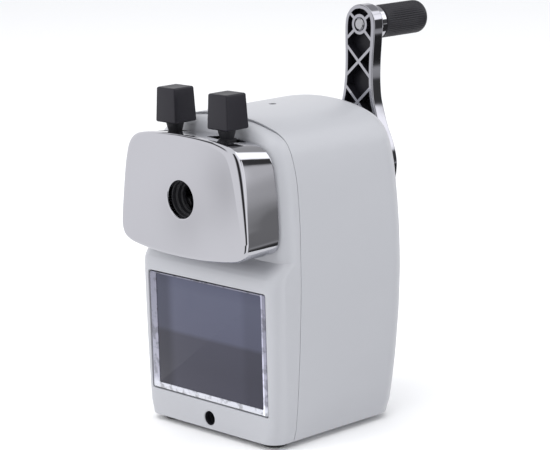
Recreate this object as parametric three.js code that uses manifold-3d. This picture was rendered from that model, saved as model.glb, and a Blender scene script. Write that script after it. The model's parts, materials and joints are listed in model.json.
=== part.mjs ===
// Desktop crank pencil sharpener: a light housing with a chrome face plate that
// slides on two guide rods, finger levers that open a three-jaw chuck, a planetary
// helical cutter turned by a rear crank, and a shavings drawer.
// Millimetres. +X right, +Y to the rear, +Z up. Inside this file Y = 0 is the front
// face of the drawer tray and Z = 0 the floor; the group is moved so that the origin is
// under the middle of the whole object.
import * as THREE from 'three';
import { mergeVertices } from 'three/addons/utils/BufferGeometryUtils.js';
import Module from 'manifold-3d';

const wasm = await Module();
wasm.setup();
const { Manifold, Mesh: WasmMesh } = wasm;

// ---------------------------------------------------------------- dimensions
const WALL = 2.0;              // housing and bezel wall
const AXIS_Z = 79.0;           // pencil, chuck and crank axis
const SEAM_Y = 11.2;           // joint between bezel and housing
const BEZEL_FRONT_Y = -1.2;    // lower front face
const BEZEL_UPPER_Y = 4.2;     // front face behind the face plate
const BOTTOM_Z = 2.0;          // lower edge of the shells
const REAR_CORNER_R = 8.0;
const FRONT_CORNER_R = 5.0;
const PLATE_FRONT_Y = -10.4;
const PLATE_REAR_Y = 3.8;
const PLATE_WALL = 1.6;
const PENCIL_HOLE_R = 6.0;
const ROD_X = 22.5, ROD_R = 2.0;
const PLATE_TRAVEL = 24.0;
const KNOB_X = 12.1, KNOB_Z0 = 101.4, KNOB_Z1 = 112.6;
const DRAWER_FRONT_Y = -0.9, DRAWER_HALF_W = 27.3, DRAWER_Z0 = 11.2, DRAWER_Z1 = 50.45, DRAWER_DEPTH = 52.0;
const CLAMP_HOLE_R = 2.25, CLAMP_HOLE_Z = 5.5;
const CRANK_R = 46.7;          // crank axis to grip axis
const GRIP_R = 5.6, GRIP_Y0 = 80.0, GRIP_Y1 = 100.7;
const ARM_Y0 = 68.9, ARM_T = 4.6, ARM_LEAN = 0.065;
const RING_TEETH = 32, PINION_TEETH = 10;
const CUTTER_SLOPE = 0.2;      // cutter axis closes on the pencil axis to the rear
const CUTTER_R = 5.3;
const ORIGIN_Y = (GRIP_Y1 + PLATE_FRONT_Y) / 2;

const cutterD = (y) => 9.35 - CUTTER_SLOPE * (y - 20);  // axis distance at a given y

// ---------------------------------------------------------------- materials
const paint = (c, r = 0.45, m = 0.0) => new THREE.MeshStandardMaterial({ color: c, roughness: r, metalness: m });
const GREY = paint(0xc3c6cd, 0.42);
const CHROME = paint(0xd6d6dc, 0.08, 1.0);
const BLACK = paint(0x37363e, 0.5);
const RUBBER = paint(0x1d1d20, 0.85);
const STEEL = paint(0xb4b6ba, 0.3, 1.0);
const ZINC = paint(0x8f9298, 0.4, 1.0);
const BRASS = paint(0xb9975a, 0.35, 1.0);
const INNER = paint(0x2b2b2f, 0.6);
const SMOKE = paint(0x56596b, 0.12);

// ---------------------------------------------------------------- helpers
function clean(geo) {
  let g = geo.clone();
  g.deleteAttribute('normal');
  g.deleteAttribute('uv');
  g = mergeVertices(g, 1e-4);
  const p = g.attributes.position.array;
  const src = g.index.array;
  const tri = [];
  let vol = 0;
  for (let i = 0; i < src.length; i += 3) {
    const [a, b, c] = [src[i], src[i + 1], src[i + 2]];
    if (a === b || b === c || a === c) continue;
    tri.push(a, b, c);
    const [ax, ay, az] = [p[3 * a], p[3 * a + 1], p[3 * a + 2]];
    const [bx, by, bz] = [p[3 * b], p[3 * b + 1], p[3 * b + 2]];
    const [cx, cy, cz] = [p[3 * c], p[3 * c + 1], p[3 * c + 2]];
    vol += ax * (by * cz - bz * cy) + ay * (bz * cx - bx * cz) + az * (bx * cy - by * cx);
  }
  if (vol < 0) for (let i = 0; i < tri.length; i += 3) [tri[i + 1], tri[i + 2]] = [tri[i + 2], tri[i + 1]];
  return { p: new Float32Array(p), tri: new Uint32Array(tri) };
}
function solid(geo) {
  const { p, tri } = clean(geo);
  return new Manifold(new WasmMesh({ numProp: 3, vertProperties: p, triVerts: tri }));
}
function toGeometry(s) {
  const m = s.getMesh();
  const g = new THREE.BufferGeometry();
  g.setAttribute('position', new THREE.BufferAttribute(new Float32Array(m.vertProperties), 3));
  g.setIndex(new THREE.BufferAttribute(new Uint32Array(m.triVerts), 1));
  g.computeVertexNormals();
  return g;
}
const join = (...s) => s.reduce((a, b) => a.add(b));
const cut = (a, ...s) => s.reduce((x, b) => x.subtract(b), a);

const shapeOf = (pts, holes = []) => {
  const s = new THREE.Shape(pts.map(([x, y]) => new THREE.Vector2(x, y)));
  for (const h of holes) s.holes.push(new THREE.Path(h.map(([x, y]) => new THREE.Vector2(x, y))));
  return s;
};
const basis = (x, y, z) => new THREE.Matrix4().makeBasis(new THREE.Vector3(...x), new THREE.Vector3(...y), new THREE.Vector3(...z));
function extrude(pts, depth, steps = 1) {
  return new THREE.ExtrudeGeometry(shapeOf(pts), { depth, steps, bevelEnabled: false });
}
// outline (x, z) carried along Y
function alongY(pts, y0, y1) {
  const g = extrude(pts, y1 - y0);
  g.applyMatrix4(basis([1, 0, 0], [0, 0, 1], [0, 1, 0]));
  return solid(g.translate(0, y0, 0));
}
// outline (y, z) carried along X
function alongX(pts, x0, x1) {
  const g = extrude(pts, x1 - x0);
  g.applyMatrix4(basis([0, 1, 0], [0, 0, 1], [1, 0, 0]));
  return solid(g.translate(x0, 0, 0));
}
// outline (x, y) carried along Z
function alongZ(pts, z0, z1) {
  return solid(extrude(pts, z1 - z0).translate(0, 0, z0));
}
function box(x0, x1, y0, y1, z0, z1) {
  return solid(new THREE.BoxGeometry(x1 - x0, y1 - y0, z1 - z0).translate((x0 + x1) / 2, (y0 + y1) / 2, (z0 + z1) / 2));
}
function cylY(r, y0, y1, x = 0, z = AXIS_Z, n = 24, r2 = r) {
  return solid(new THREE.CylinderGeometry(r2, r, y1 - y0, n).translate(x, (y0 + y1) / 2, z));
}
function cylZ(r, z0, z1, x, y, n = 12, r2 = r) {
  return solid(new THREE.CylinderGeometry(r2, r, z1 - z0, n).rotateX(Math.PI / 2).translate(x, y, (z0 + z1) / 2));
}
// profile of [radius, y] turned about a line parallel to Y
function latheY(pts, x = 0, z = AXIS_Z, n = 24) {
  return solid(new THREE.LatheGeometry(pts.map(([r, y]) => new THREE.Vector2(r, y)), n).translate(x, 0, z));
}
function latheZ(pts, x, y, n = 16) {
  return solid(new THREE.LatheGeometry(pts.map(([r, z]) => new THREE.Vector2(r, z)), n).rotateX(Math.PI / 2).translate(x, y, 0));
}
// corner rounding of a closed polygon; r may be one number or one per corner
function rounded(pts, r, seg = 5) {
  const out = [];
  const n = pts.length;
  for (let i = 0; i < n; i++) {
    const rr = Array.isArray(r) ? r[i] : r;
    const p = pts[i], a = pts[(i + n - 1) % n], b = pts[(i + 1) % n];
    if (!rr) { out.push(p); continue; }
    const ua = [a[0] - p[0], a[1] - p[1]], ub = [b[0] - p[0], b[1] - p[1]];
    const la = Math.hypot(...ua), lb = Math.hypot(...ub);
    const da = [ua[0] / la, ua[1] / la], db = [ub[0] / lb, ub[1] / lb];
    const ang = Math.acos(Math.max(-1, Math.min(1, da[0] * db[0] + da[1] * db[1])));
    const t = rr / Math.tan(ang / 2);
    const bis = [da[0] + db[0], da[1] + db[1]];
    const bl = Math.hypot(...bis);
    const c = [p[0] + bis[0] / bl * rr / Math.sin(ang / 2), p[1] + bis[1] / bl * rr / Math.sin(ang / 2)];
    const s0 = [p[0] + da[0] * t, p[1] + da[1] * t], s1 = [p[0] + db[0] * t, p[1] + db[1] * t];
    let a0 = Math.atan2(s0[1] - c[1], s0[0] - c[0]), a1 = Math.atan2(s1[1] - c[1], s1[0] - c[0]);
    let d = a1 - a0;
    while (d > Math.PI) d -= 2 * Math.PI;
    while (d < -Math.PI) d += 2 * Math.PI;
    for (let k = 0; k <= seg; k++) out.push([c[0] + rr * Math.cos(a0 + d * k / seg), c[1] + rr * Math.sin(a0 + d * k / seg)]);
  }
  return out;
}
// piecewise-linear table
function table(rows) {
  return (t) => {
    if (t <= rows[0][0]) return rows[0][1];
    for (let i = 1; i < rows.length; i++) {
      if (t <= rows[i][0]) {
        const [a, va] = rows[i - 1], [b, vb] = rows[i];
        return va + (vb - va) * (t - a) / (b - a);
      }
    }
    return rows[rows.length - 1][1];
  };
}
// smooth curve through the right half of a mirror-symmetric outline, then mirrored.
// First point is the middle of the bottom, last the middle of the top.
function symmetric(half, n) {
  const curve = new THREE.CatmullRomCurve3(half.map(([x, z]) => new THREE.Vector3(x, z, 0)), false, 'centripetal');
  const pts = curve.getSpacedPoints(n).map((v) => [v.x, v.y]);
  pts[0][0] = 0;
  pts[n][0] = 0;
  const left = pts.slice(1, n).reverse().map(([x, z]) => [-x, z]);
  return pts.concat(left);
}
function normals(pts) {
  const n = pts.length;
  return pts.map((p, i) => {
    const a = pts[(i + n - 1) % n], b = pts[(i + 1) % n];
    const t = [b[0] - a[0], b[1] - a[1]];
    const l = Math.hypot(...t);
    return [t[1] / l, -t[0] / l];
  });
}
// Closed body through a stack of rings. Every ring has the same mirror-symmetric
// point order; the ends are closed with strips between mirrored points.
function ringBody(rings) {
  const n = rings[0].length;
  const pos = rings.flat(2);
  const idx = [];
  for (let k = 0; k + 1 < rings.length; k++) {
    for (let i = 0; i < n; i++) {
      const a = k * n + i, b = k * n + (i + 1) % n, c = a + n, d = b + n;
      idx.push(a, b, d, a, d, c);
    }
  }
  const cap = (o, flip) => {
    const h = n / 2;
    for (let i = 0; i < h; i++) {
      const a = i, b = i + 1, c = (n - i - 1) % n, d = (n - i) % n;
      const q = [[a, b, c], [a, c, d]];
      for (const [u, v, w] of q) {
        if (u === v || v === w || u === w) continue;
        idx.push(...(flip ? [o + u, o + w, o + v] : [o + u, o + v, o + w]));
      }
    }
  };
  cap(0, true);
  cap((rings.length - 1) * n, false);
  const g = new THREE.BufferGeometry();
  g.setAttribute('position', new THREE.BufferAttribute(new Float32Array(pos), 3));
  g.setIndex(idx);
  return solid(g);
}
// outline pushed inward by d, as (x, y, z) with y from a function of z
const insetRing = (pts, nor, d, yOf) => pts.map(([x, z], i) => {
  const X = Math.abs(x) < 1e-9 ? 0 : x - nor[i][0] * d;
  const Z = z - nor[i][1] * d;
  return [X, yOf(z), Z];
});

const group = new THREE.Group();
group.position.y = -ORIGIN_Y;
function piece(name, s, material) {
  const m = new THREE.Mesh(s.getMesh ? toGeometry(s) : s, material);
  m.name = name;
  group.add(m);
  return m;
}

// ---------------------------------------------------------------- outlines
const HALF = [[0, -8], [27.9, -8], [31.25, 5.9], [31.6, 12], [32.0, 24],
  [32.3, 38], [32.35, 50.5], [32.3, 53.5], [32.27, 55.5], [32.24, 57], [32.2, 58.3], [32.17, 59.2], [32.15, 60.0], [31.95, 68], [31.65, 74], [31.2, 80], [30.5, 85.5],
  [29.5, 90], [28.1, 94], [26.0, 97.3], [23.4, 99.6], [20, 101.2], [16, 102.45], [11, 103.4], [5.5, 104.0], [0, 104.2]];
const BODY = HALF.concat(HALF.slice(1, -1).reverse().map(([x, z]) => [-x, z]));
const BODY_N = normals(BODY);
const rearY = table([[0, 54.2], [8, 55.6], [22, 57.8], [37, 59.4], [50, 60.2], [62, 60.4], [76, 60.0], [90, 59.8], [104, 59.6]]);
const seamY = table([[0, 7.0], [15, 8.2], [30, 9.1], [47, 10.0], [56, 10.4], [70, 10.9], [84, SEAM_Y], [97, SEAM_Y], [99.6, 10.7], [101.3, 10.0], [102.6, 9.5], [103.6, 9.1], [104.4, 8.8]]);
const frontY = table([[0, BEZEL_FRONT_Y], [53.5, BEZEL_FRONT_Y], [55.5, -0.7], [57, 0.3], [58.3, 1.8], [59.2, 3.2], [60.0, BEZEL_UPPER_Y], [110, BEZEL_UPPER_Y]]);

// everything above the lower edge of the shells
const underside = () => box(-40, 40, -8, 70, BOTTOM_Z, 130);
// the inward lip that the base plate sits inside
const lip = () => join(box(28.0, 40, -5, 70, -9, 4.8), box(-40, -28.0, -5, 70, -9, 4.8), box(-40, 40, 51.6, 70, -9, 4.8));

// ---------------------------------------------------------------- housing shell
{
  const R = REAR_CORNER_R;
  const arc = [0, 30, 60, 90].map((d) => d * Math.PI / 180);
  const outer = ringBody([
    insetRing(BODY, BODY_N, 0.0, (z) => seamY(z) + 0.15),
    ...arc.map((a) => insetRing(BODY, BODY_N, R * (1 - Math.cos(a)), (z) => rearY(z) - R + R * Math.sin(a)))]);
  const Ri = R - WALL;
  const inner = ringBody([
    insetRing(BODY, BODY_N, WALL, (z) => seamY(z) - 1.0),
    ...[0, 45, 90].map((d) => d * Math.PI / 180).map((a) => insetRing(BODY, BODY_N, WALL + Ri * (1 - Math.cos(a)), (z) => rearY(z) - WALL - Ri + Ri * Math.sin(a)))]);
  let s = cut(outer.intersect(underside()), cut(inner, lip()));
  // bearing boss on the rear wall and the hole through it
  s = join(s, cylY(11.5, 58.2, 64.0, 0, AXIS_Z, 40, 10.6));
  s = cut(s, cylY(6.5, 50, 70, 0, AXIS_Z, 24));
  // small round hole in the roof
  s = cut(s, cylZ(1.3, 98, 110, 0, 30.8, 16));
  piece('housing_shell', s, GREY);
}

// ---------------------------------------------------------------- front bezel
{
  const R = FRONT_CORNER_R;
  // the roof of the bezel lies a little under the lip of the housing roof
  const low = BODY.map(([x, z]) => [x, z > 97 ? z - 0.8 * Math.min(1, (z - 97) / 4) : z]);
  const arc = [90, 60, 30, 0].map((d) => d * Math.PI / 180);
  const outer = ringBody([
    ...arc.map((a) => insetRing(low, BODY_N, R * (1 - Math.cos(a)), (z) => frontY(z) + R - R * Math.sin(a))),
    insetRing(low, BODY_N, 0, (z) => seamY(z) - 0.15)]);
  const Ri = R - WALL;
  const inner = ringBody([
    ...[90, 45, 0].map((d) => d * Math.PI / 180).map((a) => insetRing(low, BODY_N, WALL + Ri * (1 - Math.cos(a)), (z) => frontY(z) + WALL + Ri - Ri * Math.sin(a))),
    insetRing(low, BODY_N, WALL, (z) => seamY(z) + 1)]);
  let s = cut(outer.intersect(underside()), cut(inner, lip()));
  s = cut(s, alongY(rounded([[-27.65, 10.85], [27.65, 10.85], [27.65, 50.85], [-27.65, 50.85]], 0.8, 2), -5, 3));
  s = cut(s, cylY(CLAMP_HOLE_R, -5, 3, 0, CLAMP_HOLE_Z, 20));
  s = cut(s, cylY(14.5, 0, 9, 0, AXIS_Z, 24), cylY(3.4, 0, 9, ROD_X), cylY(3.4, 0, 9, -ROD_X));
  piece('front_bezel', s, GREY);
}

// ---------------------------------------------------------------- base, feet, runners, clamp socket
{
  let s = alongZ(rounded([[-27.6, 1.3], [27.6, 1.3], [27.6, 51.2], [-27.6, 51.2]], [1, 1, 4, 4]), 2.4, 4.4);
  s = cut(s, box(-4.0, 4.0, -2, 12.4, 0, 8));
  for (const x of [-16.5, 16.5]) for (const y of [12, 38]) s = cut(s, cylZ(1.45, 0, 8, x, y, 12));
  piece('base_plate', s, BLACK);
  const foot = [[0, 0], [4.0, 0], [4.3, 0.4], [4.3, 2.1], [0, 2.1]];
  piece('foot_front_left', latheZ(foot, -23, 5.8), RUBBER);
  piece('foot_front_right', latheZ(foot, 23, 5.8), RUBBER);
  piece('foot_rear_left', latheZ(foot, -19.5, 45.5), RUBBER);
  piece('foot_rear_right', latheZ(foot, 19.5, 45.5), RUBBER);
  let i = 0;
  for (const x of [-16.5, 16.5]) {
    let r = box(x - 2.5, x + 2.5, 4, 50, 4.75, 10.85);
    for (const y of [12, 38]) {
      r = cut(r, cylZ(1.45, 4, 9, x, y, 12));
      i += 1;
      const screw = latheZ([[0, 0.9], [1.6, 0.9], [2.3, 1.4], [2.3, 2.05], [1.15, 2.05], [1.15, 8.4], [0, 8.4]], x, y, 12);
      piece(`base_screw_${i}`, screw, ZINC);
    }
    piece(x < 0 ? 'drawer_runner_left' : 'drawer_runner_right', r, BLACK);
  }
  let socket = box(-3.6, 3.6, 1.15, 12.0, 2.6, 9.2);
  socket = cut(socket, cylY(CLAMP_HOLE_R, 0, 20, 0, CLAMP_HOLE_Z, 20));
  piece('clamp_socket', socket, ZINC);
}

// ---------------------------------------------------------------- chute plate over the drawer
{
  let s = alongZ(rounded([[-29.7, 13.4], [29.7, 13.4], [29.7, 55.4], [-29.7, 55.4]], [0, 0, 5, 5]), 53.0, 54.6);
  s = cut(s, box(-18.4, 18.4, 18, 50, 50, 58));
  for (const x of [-21.6, 21.6]) for (const y of [15.5, 49]) s = cut(s, cylZ(1.5, 50, 60, x, y, 12));
  piece('chute_plate', s, BLACK);
}

// ---------------------------------------------------------------- mechanism frame
{
  const face = [[-27.6, 55.0], [27.6, 55.0], [27.6, 87], [19, 97], [-19, 97], [-27.6, 87]];
  let s = alongY(rounded(face, [1, 1, 3, 3, 3, 3], 3), 8.0, 10.0);
  s = join(s, alongY(rounded([[-26, 55.0], [26, 55.0], [26, 86], [18, 95], [-18, 95], [-26, 86]], [1, 1, 3, 3, 3, 3], 3), 52.0, 53.8));
  for (const d of [-1, 1]) {
    s = join(s, box(Math.min(d * 24.6, d * 26), Math.max(d * 24.6, d * 26), 9, 53, 55.0, 61.5));
    s = join(s, box(Math.min(d * 19.0, d * 26), Math.max(d * 19.0, d * 26), 9, 53, 55.0, 56.6));
    for (const y of [15.5, 49]) s = cut(s, cylZ(1.5, 50, 60, d * 21.6, y, 16));
    s = cut(s, cylY(3.65, 0, 12, d * ROD_X, AXIS_Z, 16));
  }
  s = cut(s, cylY(7.4, 0, 12, 0, AXIS_Z, 24), cylY(6.5, 50, 56, 0, AXIS_Z, 24));
  for (const a of [90, 210, 330]) {
    const t = a * Math.PI / 180;
    s = cut(s, cylY(1.3, 0, 12, 11.6 * Math.cos(t), AXIS_Z + 11.6 * Math.sin(t), 12));
  }
  piece('mechanism_frame', s, ZINC);
  let i = 0;
  for (const x of [-21.6, 21.6]) for (const y of [15.5, 49]) {
    i += 1;
    piece(`frame_screw_${i}`, latheZ([[0, 51.6], [1.2, 51.6], [1.2, 56.9], [2.2, 56.9], [2.2, 58.1], [1.3, 58.8], [0, 58.8]], x, y, 10), ZINC);
  }
  const bush = [[2.3, 6.8], [3.3, 6.8], [3.3, 10.35], [4.5, 10.35], [4.5, 11.4], [3.3, 11.4], [3.3, 13.8], [2.3, 13.8], [2.3, 6.8]];
  piece('rod_bushing_left', latheY(bush, -ROD_X, AXIS_Z, 16), BRASS);
  piece('rod_bushing_right', latheY(bush, ROD_X, AXIS_Z, 16), BRASS);
  piece('rear_bearing', latheY([[4.25, 50.9], [6.15, 50.9], [6.15, 54.2], [8.2, 54.2], [8.2, 55.6], [6.15, 55.6], [6.15, 63.6], [4.25, 63.6], [4.25, 50.9]], 0, AXIS_Z, 24), BRASS);
}

// ---------------------------------------------------------------- ring gear
const PITCH_R = 14.5;
{
  const pts = [];
  for (let k = 0; k < RING_TEETH; k++) {
    // a gap is centred on the lowest point, where the pinion sits
    const c = -Math.PI / 2 + (k + 0.5) * 2 * Math.PI / RING_TEETH;
    const tip = 0.36 / 13.75, root = 0.72 / 15.6;
    for (const [r, a] of [[15.6, -root], [13.75, -tip], [13.75, tip], [15.6, root]]) {
      pts.push([r * Math.cos(c + a), r * Math.sin(c + a) + AXIS_Z]);
    }
  }
  let s = cylY(17.4, 10.35, 19.0, 0, AXIS_Z, 24);
  s = cut(s, cylY(15.9, 11.9, 15.2, 0, AXIS_Z, 24), alongY(pts, 15.1, 20), cylY(8.4, 5, 13, 0, AXIS_Z, 24));
  for (const a of [90, 210, 330]) {
    const t = a * Math.PI / 180, x = 11.6 * Math.cos(t), z = AXIS_Z + 11.6 * Math.sin(t);
    s = cut(s, cylY(1.3, 10, 11.6, x, z, 12));
    piece(`ring_screw_${a / 120 + 0.25 | 0}`, latheY([[0, 6.6], [1.5, 6.6], [2.0, 7.0], [2.0, 7.7], [1.0, 7.7], [1.0, 11.3], [0, 11.3]], x, z, 10), ZINC);
  }
  piece('ring_gear', s, STEEL);
}

// ---------------------------------------------------------------- cutter, pinion, axle, carrier
// local Z of these pieces runs rearwards along the cutter axis
const cutterFrame = (y) => {
  const dir = new THREE.Vector3(0, 1, CUTTER_SLOPE).normalize();
  const x = new THREE.Vector3(1, 0, 0);
  const m = new THREE.Matrix4().makeBasis(x, new THREE.Vector3().crossVectors(dir, x), dir);
  return m.setPosition(0, y, AXIS_Z - cutterD(y));
};
const AXIAL = Math.hypot(1, CUTTER_SLOPE);
{
  const len = (42.4 - 20.9) * AXIAL;
  const pts = [];
  const blades = 10;
  for (let k = 0; k < blades; k++) {
    const a = k * 2 * Math.PI / blades, w = 2 * Math.PI / blades;
    for (const [r, t] of [[CUTTER_R, 0.0], [CUTTER_R - 0.15, 0.12], [CUTTER_R - 1.2, 0.42], [CUTTER_R - 1.2, 0.82]]) pts.push([r * Math.cos(a + t * w), r * Math.sin(a + t * w)]);
  }
  const g = extrude(pts, len, 6);
  const p = g.attributes.position;
  for (let i = 0; i < p.count; i++) {
    const t = p.getZ(i) / len * Math.PI * 0.45, c = Math.cos(t), s = Math.sin(t);
    p.setXY(i, p.getX(i) * c - p.getY(i) * s, p.getX(i) * s + p.getY(i) * c);
  }
  let cutter = solid(g);
  cutter = cut(cutter, solid(new THREE.CylinderGeometry(1.8, 1.8, len + 4, 16).rotateX(Math.PI / 2).translate(0, 0, len / 2)));
  const m = piece('helical_cutter', cutter, STEEL);
  m.applyMatrix4(cutterFrame(20.9));
}
{
  // bevelled so that its outer edge runs parallel to the ring gear's teeth
  const y0 = 15.5, y1 = 18.6, len = (y1 - y0) * AXIAL;
  const pts = [];
  for (let k = 0; k < PINION_TEETH; k++) {
    const c = -Math.PI / 2 + k * 2 * Math.PI / PINION_TEETH;
    for (const [r, w] of [[3.35, -1.02], [4.45, -0.56], [5.2, -0.3], [5.2, 0.3], [4.45, 0.56], [3.35, 1.02]]) {
      const a = w / r;
      pts.push([r * Math.cos(c + a), r * Math.sin(c + a)]);
    }
  }
  const g = extrude(pts, len);
  const p = g.attributes.position;
  for (let i = 0; i < p.count; i++) {
    const k = 1 + (p.getZ(i) / len - 0.5) * (y1 - y0) * CUTTER_SLOPE / 4.6;
    p.setXY(i, p.getX(i) * k, p.getY(i) * k);
  }
  let pinion = solid(g);
  pinion = cut(pinion, solid(new THREE.CylinderGeometry(1.8, 1.8, len + 4, 16).rotateX(Math.PI / 2).translate(0, 0, len / 2)));
  const m = piece('cutter_pinion', pinion, STEEL);
  m.applyMatrix4(cutterFrame(y0));
}
{
  const y0 = 12.9, y1 = 46.3, len = (y1 - y0) * AXIAL;
  const m = piece('cutter_axle', solid(new THREE.CylinderGeometry(1.5, 1.5, len, 16).rotateX(Math.PI / 2).translate(0, 0, len / 2)), STEEL);
  m.applyMatrix4(cutterFrame(y0));
}
{
  let s = latheY([[4.7, 6.4], [7.0, 6.4], [7.0, 12.5], [13.1, 12.5], [13.1, 14.6], [4.7, 14.6], [4.7, 6.4]], 0, AXIS_Z, 24);
  s = join(s, latheY([[0, 44.0], [12.6, 44.0], [13.0, 44.6], [13.0, 49.0], [6.0, 49.0], [6.0, 50.5], [0, 50.5]], 0, AXIS_Z, 24));
  const arc = [];
  for (let k = 0; k <= 10; k++) arc.push([12.9 * Math.cos((40 + k * 10) * Math.PI / 180), AXIS_Z + 12.9 * Math.sin((40 + k * 10) * Math.PI / 180)]);
  for (let k = 10; k >= 0; k--) arc.push([9.2 * Math.cos((40 + k * 10) * Math.PI / 180), AXIS_Z + 9.2 * Math.sin((40 + k * 10) * Math.PI / 180)]);
  s = join(s, alongY(arc, 14.0, 45.0));
  s = cut(s, cylY(4.25, 46.9, 52, 0, AXIS_Z, 24));
  const hole = new THREE.CylinderGeometry(1.8, 1.8, 38, 16).rotateX(Math.PI / 2).translate(0, 0, 15.3);
  s = cut(s, solid(hole.applyMatrix4(cutterFrame(12.9))));
  piece('cutter_carrier', s, ZINC);
}

// ---------------------------------------------------------------- crank
const GRIP_Z = AXIS_Z + CRANK_R;
{
  let shaft = latheY([[0, 47.2], [3.6, 47.2], [4.0, 47.6], [4.0, 72.6], [1.6, 72.6], [1.6, 66.2], [0, 66.2]], 0, AXIS_Z, 24);
  piece('crank_shaft', shaft, STEEL);

  // half outline of the arm from the bottom of the hub to the top of the grip end
  const half = [[0, AXIS_Z - 15], [5.74, AXIS_Z - 13.9], [10.6, AXIS_Z - 10.6], [13.9, AXIS_Z - 5.7], [15, AXIS_Z], [14.6, 82.5], [13.6, 85.5], [12.2, 88.7], [10.4, 92], [8.4, 97.2],
    [7.1, 101.5], [6.5, 106], [6.3, 110], [6.35, 115], [6.6, 120], [6.7, GRIP_Z], [6.2, GRIP_Z + 2.6], [4.8, GRIP_Z + 4.7], [2.6, GRIP_Z + 6.2], [0, GRIP_Z + 6.7]];
  const lean = new THREE.Matrix4().set(1, 0, 0, 0, 0, 1, ARM_LEAN, -ARM_LEAN * AXIS_Z, 0, 0, 1, 0, 0, 0, 0, 1);
  const leaned = (s) => { const g = toGeometry(s); g.deleteAttribute('normal'); g.applyMatrix4(lean); return solid(g); };
  const out = symmetric(half, 26);
  const nor = normals(out);
  const ins = out.map(([x, z], i) => [x - nor[i][0] * 1.4, z - nor[i][1] * 1.4]);
  let s = alongY(out, ARM_Y0, ARM_Y0 + ARM_T);
  // recess on the face towards the housing, above the hub
  const upper = box(-20, 20, ARM_Y0 - 2, ARM_Y0 + ARM_T, 90.5, 140);
  let pocket = alongY(ins, ARM_Y0 - 1, ARM_Y0 + ARM_T - 1.3).intersect(upper);
  const bar = (x0, z0, x1, z1, w = 1.0) => {
    const d = [x1 - x0, z1 - z0], l = Math.hypot(...d), n = [-d[1] / l * w / 2, d[0] / l * w / 2];
    return alongY([[x0 + n[0], z0 + n[1]], [x0 - n[0], z0 - n[1]], [x1 - n[0], z1 - n[1]], [x1 + n[0], z1 + n[1]]], ARM_Y0, ARM_Y0 + ARM_T);
  };
  for (const zc of [113.3, 99.7]) pocket = cut(pocket, bar(-7.5, zc - 6.8, 7.5, zc + 6.8), bar(7.5, zc - 6.8, -7.5, zc + 6.8));
  for (const [x, z] of [[6.4, 5], [-6.4, 5], [6.4, -5.6], [-6.4, -5.6]]) pocket = cut(pocket, bar(0, GRIP_Z, x, GRIP_Z + z));
  pocket = cut(pocket, cylY(3.4, ARM_Y0, ARM_Y0 + ARM_T, 0, GRIP_Z, 24));
  s = leaned(cut(s, pocket));
  // hub boss towards the housing and rear boss around the screw
  s = join(s, cylY(6.6, 64.6, 70.5, 0, AXIS_Z, 24), latheY([[0, 70.5], [14.7, 70.5], [14.7, 73.3], [14.0, 74.0], [6.9, 74.0], [6.6, 76.9], [6.0, 77.5], [0, 77.5]], 0, AXIS_Z, 36));
  s = cut(s, cylY(4.5, 60, 90, 0, AXIS_Z, 24), cylY(2.1, 60, 90, 0, GRIP_Z, 20));
  s = cut(s, cylY(2.45, 60, ARM_Y0 + ARM_LEAN * CRANK_R + 1.3, 0, GRIP_Z, 20));
  piece('crank_arm', s, CHROME);

  piece('crank_washer', latheY([[1.75, 72.95], [4.15, 72.95], [4.15, 73.7], [1.75, 73.7], [1.75, 72.95]], 0, AXIS_Z, 24), ZINC);
  let screw = latheY([[0, 66.6], [1.3, 66.6], [1.3, 74.0], [3.2, 74.0], [3.2, 75.6], [2.2, 76.5], [0, 76.5]], 0, AXIS_Z, 20);
  screw = cut(screw, box(-2.2, 2.2, 75.5, 79, AXIS_Z - 0.4, AXIS_Z + 0.4), box(-0.4, 0.4, 75.5, 79, AXIS_Z - 2.2, AXIS_Z + 2.2));
  piece('crank_screw', screw, ZINC);

  const yp = ARM_Y0 + ARM_LEAN * CRANK_R;
  piece('grip_pin', latheY([[0, yp - 0.3], [1.6, yp - 0.3], [2.05, yp + 0.1], [2.05, yp + 0.95], [1.75, yp + 0.95], [1.75, 98.0], [0, 98.0]], 0, GRIP_Z, 12), STEEL);
  piece('grip_collar', latheY([[2.05, 77.0], [5.5, 77.0], [5.8, 77.4], [5.8, 79.3], [5.5, 79.7], [2.05, 79.7], [2.05, 77.0]], 0, GRIP_Z, 20), CHROME);
  piece('crank_grip', latheY([[2.1, GRIP_Y0], [5.1, GRIP_Y0], [GRIP_R, GRIP_Y0 + 0.6], [GRIP_R, GRIP_Y1 - 2.0], [5.1, GRIP_Y1 - 0.7], [3.9, GRIP_Y1], [0, GRIP_Y1],
    [0, GRIP_Y1 - 2.2], [2.1, GRIP_Y1 - 2.2], [2.1, GRIP_Y0]], 0, GRIP_Z, 24), BLACK);
}

// ---------------------------------------------------------------- face plate
const PLATE_HALF = [[0, 60.1], [8, 60.3], [15, 60.8], [21, 61.5], [25.6, 62.5], [28.3, 64.2], [29.45, 67.2], [29.35, 70], [28.95, 73.5], [28.45, 78], [28.05, 83], [27.45, 87.5],
  [26.55, 91.5], [25.5, 94.3], [23.9, 96.4], [21.6, 97.75], [17, 98.75], [11, 99.3], [5, 99.6], [0, 99.7]];
const PLATE = symmetric(PLATE_HALF, 26);
const PLATE_N = normals(PLATE);
// the rounding of the front edge is small along the top and grows towards the upper corners
const edgeSide = table([[60, 1.5], [66, 1.5], [71, 1.8], [78.5, 2.6], [86, 3.3], [92, 4.3], [100, 4.3]]);
const edgeTop = table([[0, 1.4], [11, 1.5], [17, 1.9], [21.5, 2.7], [24, 3.5], [26, 4.3]]);
const PLATE_R = PLATE.map(([x, z]) => Math.min(edgeSide(z), edgeTop(Math.abs(x))));
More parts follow.
